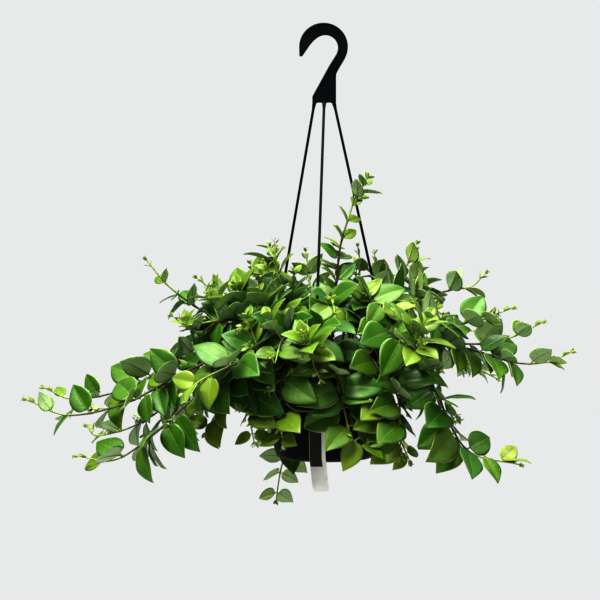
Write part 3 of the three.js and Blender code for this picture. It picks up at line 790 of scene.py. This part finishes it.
def hookOutline():
    # the hook and its plate, seen from the front, with the bearing point at the origin
    look = hangerLook
    inner, drop = look["inner"], look["plateDrop"]
    left, right = look["plate"]
    outline = [(32.5 * x - 2.5, 32 * y - 16) for x, y in arc((0, 0), 1, 180, 0, 44)]
    outline += bezier((30, -16), (30, -30), (21, -38), (15, -51), count=14)[1:]
    outline += bezier((15, -51), (right, -53.5), (right, -57), count=4)[1:]
    outline += [(right, 1.2 - drop), (right - 0.3, 0.3 - drop), (right - 1, -drop)]
    for side in (1, -1):
        notch, top = look["shift"] + side * look["spacing"] / 2, 3.6 - drop
        outline += bezier((notch + 4.6, -drop), (notch + 4.6, top), (notch + 1.2, top), count=7)
        outline += bezier((notch - 1.2, top), (notch - 4.6, top), (notch - 4.6, -drop), count=7)
    outline += [(left + 1, -drop), (left + 0.3, 0.3 - drop), (left, 1.2 - drop)]
    outline += bezier((left, 10.6 - drop), (left, 11.5 - drop), (left + 0.8, 13 - drop), count=5)
    outline += bezier((1.5, -48), (11.5, -29.5), (inner, -26), (inner, -inner), count=14)
    outline += arc((0, -inner), inner, 0, 115, 26)[1:]
    outline += bezier((-7.2, -1.6), (-15.9, -5.7), (-23.4, -17.4), count=10)[1:]
    outline += bezier((-30, -26.8), (-32, -30), (-34.8, -27.6), count=6)
    return outline[::-1]


def makeHanger(finish):
    look = hangerLook
    batch = newBatch()
    points, faces = roundedSlab(hookOutline(), look["thickness"], look["edge"])
    addMesh(batch, np.column_stack([points[:, 0], -points[:, 2], points[:, 1] + seatToRim]), faces)
    length, width, height = look["clip"]
    corners = [(x * length / 2, y * width / 2) for x, y in ((-1, -1), (1, -1), (1, 1), (-1, 1))]
    bar, barFaces = roundedSlab(eased(corners, 1.6), height, 0.7, 3)
    radius, rise = look["stop"]
    stopRadii = [radius * share for share in look["stopTaper"]] + [look["strand"]]
    for index, angle in enumerate(look["angles"]):
        top, end = strandEnds(index)
        reach = np.linalg.norm(top - end)
        run = [np.linspace(0, 16, 9), np.linspace(22, reach - 12, 12), np.linspace(reach - 9, reach, 5)]
        run = np.concatenate(run)
        radii = look["strand"] + look["flare"] * np.exp(-((run - 3) / look["flareReach"]).clip(0) ** 2)
        addTube(batch, [top + (end - top) * s / reach for s in run], radii, 14)
        c, s = math.cos(math.radians(angle)), math.sin(math.radians(angle))
        addMesh(batch, bar @ np.array([[c, -s, 0], [s, c, 0], [0, 0, 1]]).T + end, barFaces)
        low, up = strandAt(index, 0.4), unit(top - end)
        addTube(batch, [low + up * share * rise for share in look["stopSteps"]], stopRadii, 16)
    hanger = meshObject("hanger_moulding", batch, [finish])
    hanger.data.set_sharp_from_angle(angle=math.radians(look["sharp"]))
    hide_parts("hanger")
    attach(hanger, "root")


potLook = {
    "rim": 100, "lip": 12, "lipWall": 1.6, "mouth": 88.4, "height": 139, "base": 65, "wall": 1.6, "flange": 2,
    "sides": 128, "clipHole": 2.8, "drainHole": 5, "drainCircle": 38, "drainHoles": 5,
    "footRing": 1.4, "shoulder": 26, "sharp": 40,
}


def makePot(finish):
    look = potLook
    rim, mouth, height, base, wall = (look[k] for k in ("rim", "mouth", "height", "base", "wall"))
    flange, lip, foot, step = look["flange"], look["lip"], look["footRing"] - height, -look["shoulder"]

    def outer(z):
        return base + wall + (mouth - base) * (z + height) / (height - flange)

    profile = [(0, foot), (base - 14, foot), (base - 12.6, -height), (base - 4, -height),
               (base + 0.9, -height + 3.4), (outer(-height + 16), -height + 16),
               (outer(step) - 0.5, step - 2), (outer(step), step),
               (mouth + wall, -flange), (rim - look["lipWall"], -flange),
               (rim - look["lipWall"], -lip), (rim, -lip), (rim, 0), (mouth, 0), (mouth - 0.4, -3),
               (base, wall - height), (0, wall - height)]
    radii = [0, 0.8, 0.5, 3.5, 3.5, 0, 0.7, 0.7, 1.2, 0.6, 0.5, 0.7, 1, 1.2, 0, 3, 0]
    batch, bores = newBatch(), newBatch()
    addMesh(batch, *lathed(eased(profile, radii, 4, closed=False), look["sides"]))
    for index in range(len(hangerLook["angles"])):
        spot = strandAt(index, -flange / 2)
        addTube(bores, [spot + (0, 0, z) for z in (-4, 4)], look["clipHole"], 24)
    for k in range(look["drainHoles"]):
        spot = rimPoint(k * 360 / look["drainHoles"], look["drainCircle"], -height)
        addTube(bores, [spot + (0, 0, z) for z in (-4, 5)], look["drainHole"], 24)
    pot = meshObject("pot_shell", batch, [finish])
    cutHoles(pot, bores, finish, True)
    pot.data.set_sharp_from_angle(angle=math.radians(look["sharp"]))
    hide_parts("pot")
    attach(pot, "root")


mixLook = {
    "top": -14, "sides": 96, "rings": 30, "lumps": 2.6, "fine": 0.9, "finest": 0.35, "gap": 0.3,
    "bark": 150, "barkSize": ((2.5, 6.5), (1.6, 3.2), (0.8, 1.6)),
    "perlite": 120, "perliteSize": ((0.9, 1.8),) * 3, "sharp": 35,
}


def crumb(chance, size):
    # a broken lump: a cube of 26 points pushed out to a rough, flattened ball
    steps = [-1, 0, 1]
    points, index, faces = [], {}, []
    for i in steps:
        for j in steps:
            for k in steps:
                if i or j or k:
                    index[i, j, k] = len(points)
                    points.append(unit(np.array([i, j, k], float)) * chance.uniform(0.72, 1.12) * size)
    for axis in range(3):
        for side in (-1, 1):
            for a in (-1, 0):
                for b in (-1, 0):
                    ring = []
                    for da, db in ((0, 0), (1, 0), (1, 1), (0, 1)):
                        spot = [0, 0, 0]
                        spot[axis], spot[(axis + 1) % 3], spot[(axis + 2) % 3] = side, a + da, b + db
                        ring.append(index[tuple(spot)])
                    faces.append(tuple(ring)[::side])
    return np.array(points), faces


def makeMix(finishes):
    look, shell, count = mixLook, potLook, mixLook["sides"]
    chance = random.Random(31)

    def inside(z):
        slope = (shell["base"] - shell["mouth"]) * z / (shell["wall"] - shell["height"])
        return shell["mouth"] + slope - look["gap"]

    def surface(x, y):
        spot = Vector((x / 9, y / 9, 3.1))
        height = look["top"] - 1.2 + noise.noise(spot) * look["lumps"]
        return height + noise.noise(spot * 3.7) * look["fine"] + noise.noise(spot * 9) * look["finest"]

    edge, batch = inside(look["top"]), newBatch()
    points, faces = lathed([(edge * (k / look["rings"]), 0) for k in range(look["rings"] + 1)], count)
    points = np.array(points)
    points[:, 2] = [surface(x, y) for x, y, _ in points]
    addMesh(batch, points, [face[::-1] for face in faces])
    floor = shell["wall"] + look["gap"] - shell["height"]
    ring = points[-count:]
    low = np.column_stack([ring[:, :2] * (inside(floor) / edge), np.full(count, floor)])
    walls = [(k + count, (k + 1) % count + count, (k + 1) % count, k) for k in range(count)]
    addMesh(batch, np.vstack([ring, low]), walls + [tuple(range(count, 2 * count))[::-1]])
    for kind, name in ((1, "bark"), (2, "perlite")):
        for _ in range(look[name]):
            radius, a = math.sqrt(chance.random()) * (edge - 6), chance.uniform(0, 2 * math.pi)
            x, y = radius * math.cos(a), radius * math.sin(a)
            size = [chance.uniform(*ends) for ends in look[name + "Size"]]
            points, faces = crumb(chance, size)
            spin, tip = chance.uniform(0, math.pi), chance.uniform(-0.4, 0.4)
            tipped = [turned(point, np.array([1, 0, 0]), tip) for point in points]
            points = np.array([turned(point, np.array([0, 0, 1]), spin) for point in tipped])
            addMesh(batch, points + (x, y, surface(x, y) + size[2] * 0.4), faces, kind)
    mix = meshObject("mix_surface", batch, finishes)
    mix.data.set_sharp_from_angle(angle=math.radians(look["sharp"]))
    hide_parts("potting_mix")
    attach(mix, "root")


labelLook = {
    "width": 20.5, "thickness": 0.8, "drop": 170, "offset": -12, "front": 103.6, "rise": 18, "reach": 85,
    "topBend": 9, "hole": 2.6, "holeHeight": 0.83, "corner": 1.2, "bow": 0.7, "sway": 0.8,
    "lean": 0.1, "leanFrom": -128, "panelEnd": -139, "columns": 13, "sharp": 40,
}


def makeLabel(finish):
    # a strip that hangs in front of the pot, its top bent back over the rim
    look = labelLook
    bend = eased([(-look["front"], -look["drop"]), (-look["front"], 1), (-look["reach"], look["rise"])],
                 (0, look["topBend"], 0), 8, closed=False)
    bend = [np.array(point) for point in bend]
    fine = [bend[0] + (bend[1] - bend[0]) * s for s in np.linspace(0, 1, 40)] + bend[2:-1]
    fine += [bend[-2] + (bend[-1] - bend[-2]) * s for s in np.linspace(0, 1, 14)[1:]]
    rows, wide = len(fine), look["columns"]
    total, columns = rows * wide, np.linspace(-1, 1, wide)
    length = np.concatenate([[0], np.cumsum([np.linalg.norm(b - a) for a, b in zip(fine, fine[1:])])])
    upper, lower = [], []
    for k, (y, z) in enumerate(fine):
        nearEnd = min(length[k], length[-1] - length[k])
        half = look["width"] / 2
        if nearEnd < look["corner"]:
            half -= look["corner"] - math.sqrt(max(0, look["corner"] ** 2 - (look["corner"] - nearEnd) ** 2))
        ahead = unit(fine[min(k + 1, rows - 1)] - fine[max(k - 1, 0)])
        out = np.array([-ahead[1], ahead[0]])
        sway = look["sway"] * math.sin(z / 42) * (1 - smooth(-50, 0, z))
        for c in columns:
            bow = look["bow"] * (c * c - 0.5) * (1 - smooth(0, 60, max(0, z + 60)))
            x = look["offset"] + c * half + look["lean"] * max(0, look["leanFrom"] - z)
            for sheet, side in ((upper, 0.5), (lower, -0.5)):
                shift = out * (side * look["thickness"] - bow + sway * 0.4)
                sheet.append((x + sway * 0.6, y + shift[0], z + shift[1]))
    faces = []
    for j in range(rows - 1):
        for i in range(wide - 1):
            a, b, c, d = j * wide + i, j * wide + i + 1, (j + 1) * wide + i + 1, (j + 1) * wide + i
            faces.append((a, b, c, d))
            faces.append((a + total, d + total, c + total, b + total))
    for j in range(rows - 1):
        for i, order in ((0, 1), (wide - 1, -1)):
            a, d = j * wide + i, (j + 1) * wide + i
            faces.append((a, d, d + total, a + total)[::order])
    for j, order in ((0, -1), (rows - 1, 1)):
        for a in range(j * wide, j * wide + wide - 1):
            faces.append((a, a + 1, a + 1 + total, a + total)[::order])
    batch, bore = newBatch(), newBatch()
    addMesh(batch, np.array(upper + lower), faces, share=np.tile(columns, 2 * rows),
            front=np.repeat([1, 0], total))
    spot = strandAt(1, look["rise"] * look["holeHeight"])
    addTube(bore, [spot + (0, 0, z) for z in (-16, 16)], look["hole"], 24)
    label = meshObject("plant_label", batch, [finish])
    cutHoles(label, bore, finish)
    label.data.set_sharp_from_angle(angle=math.radians(look["sharp"]))
    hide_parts("label")
    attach(label, "root")


def tone(red, green, blue):
    # a colour as a paint chart gives it, 0 to 255, turned to the linear values that shaders take
    shares = [value / 255 for value in (red, green, blue)]
    return [s / 12.92 if s <= 0.04045 else ((s + 0.055) / 1.055) ** 2.4 for s in shares] + [1]


def feed(tree, node, inputs):
    # a node's inputs set to values, or linked to other nodes' outputs
    for socket, value in inputs.items():
        if isinstance(value, bpy.types.NodeSocket):
            tree.links.new(value, node.inputs[socket])
        else:
            node.inputs[socket].default_value = value


def place(tree, kind, inputs=None, **settings):
    node = tree.nodes.new("ShaderNode" + kind)
    for key, value in settings.items():
        setattr(node, key, value)
    feed(tree, node, inputs or {})
    return node


def sums(tree, operation, *values, clamp=False):
    return place(tree, "Math", dict(enumerate(values)), operation=operation, use_clamp=clamp).outputs[0]


def times(tree, first, second):
    return sums(tree, "MULTIPLY", first, second)


def raised(tree, start, value, share):
    return sums(tree, "ADD", start, times(tree, value, share))


def blendOf(tree, share, first, second):
    return place(tree, "Mix", {0: share, 6: first, 7: second}, data_type="RGBA").outputs[2]


def ramped(tree, value, low, high, start=0, end=1):
    inputs = {0: value, 1: low, 2: high, 3: start, 4: end}
    return place(tree, "MapRange", inputs, clamp=True, interpolation_type="SMOOTHSTEP").outputs[0]


def useGroup(tree, group, **inputs):
    return place(tree, "Group", inputs, node_tree=group).outputs


def mark(tree, name):
    return place(tree, "Attribute", attribute_name=name).outputs["Fac"]


def newGroup(name, inputs, outputs):
    group = bpy.data.node_groups.new(name, "ShaderNodeTree")
    for label, value in inputs.items():
        kind = "NodeSocketVector" if value == "vector" else "NodeSocketFloat"
        socket = group.interface.new_socket(name=label, in_out="INPUT", socket_type=kind)
        if value != "vector":
            socket.default_value = value
    for label in outputs:
        group.interface.new_socket(name=label, in_out="OUTPUT", socket_type="NodeSocketFloat")
    return group, group.nodes.new("NodeGroupInput").outputs, group.nodes.new("NodeGroupOutput")


def mottleGroup():
    # two sizes of cloud, for colour that drifts over a surface
    inputs = {"Vector": "vector", "Size": 60.0, "Finer": 5.0}
    group, given, result = newGroup("mottle", inputs, ["Broad", "Fine"])
    broad = place(group, "TexNoise", {"Vector": given[0], "Scale": given[1], "Detail": 2})
    finer = times(group, given[1], given[2])
    fine = place(group, "TexNoise", {"Vector": given[0], "Scale": finer, "Detail": 3})
    clouds = [ramped(group, cloud.outputs[0], 0.3, 0.7) for cloud in (broad, fine)]
    feed(group, result, dict(enumerate(clouds)))
    return group


def veinGroup():
    # a blade's midrib, side veins and margin, from how far across and along it a point lies
    inputs = {"Across": 0.0, "Along": 0.0, "Count": 6.0}
    group, given, result = newGroup("veins", inputs, ["Midrib", "Veins", "Margin"])
    across = sums(group, "ABSOLUTE", given[0])
    width = sums(group, "SUBTRACT", 0.075, times(group, given[1], 0.05))
    slant = times(group, sums(group, "POWER", across, 1.25), 0.3)
    turn = times(group, sums(group, "SUBTRACT", given[1], slant), given[2])
    wave = sums(group, "ABSOLUTE", sums(group, "SUBTRACT", sums(group, "FRACT", turn), 0.5))
    veins = times(group, ramped(group, wave, 0.085, 0.0), ramped(group, across, 0.97, 0.6))
    midrib, margin = ramped(group, across, width, 0.01), ramped(group, across, 0.93, 0.985)
    feed(group, result, {0: midrib, 1: veins, 2: margin})
    return group


def dustGroup():
    # dust that settles where a surface faces up, in patches
    inputs = {"Vector": "vector", "Size": 30.0, "Reach": 0.5}
    group, given, result = newGroup("dust", inputs, ["Dust"])
    facing = place(group, "SeparateXYZ", {0: place(group, "NewGeometry").outputs["Normal"]}).outputs[2]
    patches = place(group, "TexNoise", {"Vector": given[0], "Scale": given[1], "Detail": 5}).outputs[0]
    lying = times(group, ramped(group, facing, 0.0, 1.0), ramped(group, patches, 0.35, 0.75))
    settled = raised(group, lying, ramped(group, patches, 0.45, 0.8), 0.25)
    feed(group, result, {0: sums(group, "MULTIPLY", settled, given[2], clamp=True)})
    return group


def newFinish(name):
    material = bpy.data.materials.new(name)
    material.use_nodes = True
    return material, material.node_tree


def startFinish(name, groups, size, finer):
    material, tree = newFinish(name)
    spot = place(tree, "TexCoord").outputs["Object"]
    return material, tree, spot, useGroup(tree, groups["mottle"], Vector=spot, Size=size, Finer=finer)


def endFinish(material, colour, rough, height, strength, distance, gloss=None):
    # the surface itself: its colour, its relief, and what is the same all over it
    tree = material.node_tree
    bump = place(tree, "Bump", {"Height": height, "Strength": strength, "Distance": distance})
    inputs = {"Base Color": colour, "Roughness": rough, "Normal": bump.outputs[0], **(gloss or {})}
    feed(tree, tree.nodes["Principled BSDF"], inputs)
    return material


leafColours = {
    "old": tone(54, 102, 2), "oldDeep": tone(26, 78, 3), "grown": tone(92, 120, 14),
    "young": tone(110, 132, 38), "bud": tone(150, 156, 90),
    # undersides are paler than tops, and lighter still as painted backlight shining through the blade
    "under": tone(150, 174, 126), "underYoung": tone(158, 178, 100),
    "rib": tone(152, 176, 80), "edge": tone(194, 208, 140), "shade": (0.01, 0.035, 0.006, 1),
}


def leafFinish(groups):
    material, tree, _, mottle = startFinish("leaf_surface", groups, 45.0, 6.0)
    colours = leafColours
    youth, tint, under = mark(tree, "youth"), mark(tree, "tint"), mark(tree, "under")
    veins = useGroup(tree, groups["veins"], Across=mark(tree, "across"), Along=mark(tree, "along"), Count=6.0)
    large = ramped(tree, mark(tree, "long"), 0.45, 0.9)
    largeVeins = times(tree, veins["Veins"], large)
    # the youth mark holds each leaf's age, and on higher leaves painted backlight as well
    age = raised(tree, youth, sums(tree, "SUBTRACT", mottle["Broad"], 0.5), 0.16)
    top = blendOf(tree, ramped(tree, tint, -1, 1), colours["old"], colours["oldDeep"])
    for name, low, high in (("grown", 0.0, 0.5), ("young", 0.42, 0.9), ("bud", 0.84, 1.05)):
        top = blendOf(tree, ramped(tree, age, low, high), top, colours[name])
    top = blendOf(tree, times(tree, ramped(tree, tint, -1.0, 0.4, 1, 0), 0.3), top, colours["shade"])
    lines = ((largeVeins, 0.06, "rib"), (veins["Midrib"], 0.26, "rib"), (veins["Margin"], 0.55, "edge"))
    for line, share, name in lines:
        top = blendOf(tree, times(tree, line, share), top, colours[name])
    # the underside colour: the blade's paler back, lightened further as painted backlight
    back = blendOf(tree, ramped(tree, age, 0.2, 1.0), colours["under"], colours["underYoung"])
    back = blendOf(tree, times(tree, largeVeins, 0.15), back, colours["rib"])
    rough = raised(tree, raised(tree, 0.4, mottle["Fine"], 0.12), under, 0.16)
    height = sums(tree, "SUBTRACT", times(tree, mottle["Fine"], 0.25), veins["Veins"])
    colour, relief = blendOf(tree, under, top, back), times(tree, height, large)
    gloss = {"Specular IOR Level": 0.6, "Specular Tint": (0.86, 1, 0.66, 1),
             "Sheen Weight": 0.03, "Sheen Roughness": 0.4}
    return endFinish(material, colour, rough, relief, 0.2, 0.0004, gloss)


def stemFinish(groups):
    material, tree, _, mottle = startFinish("stem_skin", groups, 160.0, 6.0)
    bark = blendOf(tree, mottle["Broad"], tone(42, 38, 20), tone(72, 68, 30))
    green = blendOf(tree, mottle["Broad"], tone(108, 130, 44), tone(138, 156, 66))
    colour = blendOf(tree, ramped(tree, mark(tree, "youth"), 0.02, 0.6), bark, green)
    return endFinish(material, colour, raised(tree, 0.45, mottle["Fine"], 0.2), mottle["Fine"], 0.3, 0.0004)


plasticLooks = {
    "pot_plastic": {
        "colour": tone(2, 2, 3), "worn": tone(5, 5, 7), "rough": 0.45, "grain": 900, "dust": 0.03},
    "hanger_plastic": {
        "colour": tone(2, 4, 9), "worn": tone(5, 8, 14), "rough": 0.41, "grain": 1200, "dust": 0.02},
}


def plasticFinish(name, groups):
    look = plasticLooks[name]
    material, tree, spot, mottle = startFinish(name, groups, 38.0, 9.0)
    dust = useGroup(tree, groups["dust"], Vector=spot, Size=60.0, Reach=look["dust"])["Dust"]
    body = blendOf(tree, times(tree, mottle["Fine"], 0.35), look["colour"], look["worn"])
    colour = blendOf(tree, dust, body, tone(120, 112, 100))
    rough = raised(tree, raised(tree, look["rough"], mottle["Broad"], 0.14), dust, 0.4)
    grain = place(tree, "TexNoise", {"Vector": spot, "Scale": look["grain"], "Detail": 2})
    return endFinish(material, colour, rough, grain.outputs[0], 0.18, 0.0003, {"Specular IOR Level": 0.1})


# the dark and the light tone, and the size of the mottling
mixColours = {
    "mix_peat": (tone(30, 20, 14), tone(66, 48, 34), 220.0),
    "mix_bark": (tone(70, 44, 26), tone(120, 82, 52), 150.0),
    "mix_perlite": (tone(188, 184, 174), tone(224, 221, 214), 260.0),
}


def mixFinish(name, groups):
    dark, light, size = mixColours[name]
    material, tree, _, mottle = startFinish(name, groups, size, 5.0)
    colour = blendOf(tree, mottle["Broad"], dark, light)
    colour = blendOf(tree, times(tree, mottle["Fine"], 0.4), colour, dark)
    return endFinish(material, colour, raised(tree, 0.8, mottle["Fine"], 0.15), mottle["Fine"], 0.8, 0.001)


def labelFinish(groups):
    # a printed panel on white plastic, with a bare white end and a white strip down one side
    material, tree, spot, mottle = startFinish("label_print", groups, 90.0, 8.0)
    share, front = mark(tree, "share"), mark(tree, "front")
    height = place(tree, "SeparateXYZ", {0: spot}).outputs[2]
    white = blendOf(tree, mottle["Broad"], tone(204, 203, 200), tone(218, 217, 214))
    brown = blendOf(tree, mottle["Fine"], tone(27, 16, 13), tone(38, 26, 21))
    inside = sums(tree, "LESS_THAN", share, 0.52)
    low = (labelLook["panelEnd"] - seatToRim) / 1000
    for value, edge in ((share, -0.97), (height, low), (front, 0.5)):
        inside = times(tree, inside, sums(tree, "GREATER_THAN", value, edge))
    rough = raised(tree, 0.38, mottle["Fine"], 0.12)
    return endFinish(material, blendOf(tree, inside, white, brown), rough, mottle["Fine"], 0.15, 0.0003)


studio = {
    "camera": (-0.034, -1.75, -0.355), "lens": 78.4, "middle": (-0.03, 0, -0.42),
    "floor": -1.2, "reach": 3.0, "paper": (0.5, 0.5, 0.5, 1),
    "backdrop": tone(240, 241, 241),
    "world": (0.98, 0.99, 1.0, 1), "worldStrength": 0.6,
    "above": (-0.25, 0.9, 0.02, 1.2), "behind": (-0.2, 1.0, 0.0, 0.4), "gamma": 0.65,
    "lights": {
        "key": {"at": (-0.9, -1.4, 1.5), "size": 1.0, "power": 138, "colour": (1, 0.99, 0.95)},
        "sky": {"at": (0.1, -0.1, 1.5), "size": 1.4, "power": 78, "colour": (0.97, 0.99, 1)},
        "side": {"at": (1.6, -0.8, 0.7), "size": 1.0, "power": 20, "colour": (0.97, 0.98, 1)},
    },
}


def shownAs(tree, lit, seen):
    # what lights the scene, and what the camera sees in its place
    inputs = {0: place(tree, "LightPath").outputs["Is Camera Ray"], 1: lit.outputs[0], 2: seen.outputs[0]}
    return place(tree, "MixShader", inputs).outputs[0]


def makeStudio():
    look, scene = studio, bpy.context.scene
    camera = newObject("camera", bpy.data.cameras.new("camera"))
    camera.location = look["camera"]
    camera.rotation_euler = (math.pi / 2, 0, 0)
    camera.data.lens, camera.data.clip_end = look["lens"], 20
    scene.camera = camera
    for name, light in look["lights"].items():
        data = bpy.data.lights.new(name, "AREA")
        data.shape = "DISK"
        data.size, data.energy, data.color = light["size"], light["power"], light["colour"]
        lamp = newObject(name, data)
        lamp.location = light["at"]
        lamp.rotation_euler = (Vector(look["middle"]) - lamp.location).to_track_quat("-Z", "Y").to_euler()

    # a bright room above and behind, dark towards the front, and an even pale tone as its picture
    world = bpy.data.worlds.new("room")
    world.use_nodes = True
    tree = world.node_tree
    picture = tree.nodes["Background"]
    picture.inputs[0].default_value = look["backdrop"]
    heading = place(tree, "SeparateXYZ", {0: place(tree, "TexCoord").outputs["Generated"]}).outputs
    above, behind = ramped(tree, heading[2], *look["above"]), ramped(tree, heading[1], *look["behind"])
    strength = times(tree, sums(tree, "ADD", above, behind), look["worldStrength"])
    room = place(tree, "Background", {0: look["world"], 1: strength})
    feed(tree, tree.nodes["World Output"], {"Surface": shownAs(tree, room, picture)})
    scene.world = world

    rim = arc((0, 0), look["reach"], 0, 360, 96)[:-1]
    mesh = bpy.data.meshes.new("floor")
    mesh.from_pydata([(x, y, look["floor"]) for x, y in rim], [], [tuple(range(len(rim)))])
    material, tree = newFinish("floor_paper")
    paper = tree.nodes["Principled BSDF"]
    feed(tree, paper, {"Base Color": look["paper"], "Roughness": 0.9, "Specular IOR Level": 0})
    pale = place(tree, "Emission", {0: look["backdrop"], 1: 1.0})
    feed(tree, tree.nodes["Material Output"], {"Surface": shownAs(tree, paper, pale)})
    mesh.materials.append(material)
    floor = newObject("floor", mesh)
    scene.view_settings.view_transform = "Standard"
    scene.view_settings.look = "None"
    scene.view_settings.gamma = look["gamma"]


makeStudio()
print("studio ready")
groups = {"mottle": mottleGroup(), "veins": veinGroup(), "dust": dustGroup()}
makePot(plasticFinish("pot_plastic", groups))
makeHanger(plasticFinish("hanger_plastic", groups))
makeLabel(labelFinish(groups))
print("pot, hanger and label made")
makeMix([mixFinish(name, groups) for name in mixColours])
print("potting mix made")
for node in ("pot", "hanger", "label", "potting_mix"):
    standNode(node)
plants = []
for index, (name, values) in enumerate(routes.items()):
    plants.append(startPlant(name, dict(zip(routeParts, values)), index))
held = len(standing["trees"])
for plant in plants:
    fillPlant(plant)
print("leaves added:", len(standing["trees"]) - held, "to", held)
for plant in plants:
    branchPlant(plant)
print("leaves on side branches:", sum(plant["onBranches"] for plant in plants))
plantFinishes = [leafFinish(groups), stemFinish(groups)]
print("plant grown:", sum(finishPlant(plant, plantFinishes) for plant in plants), "faces")
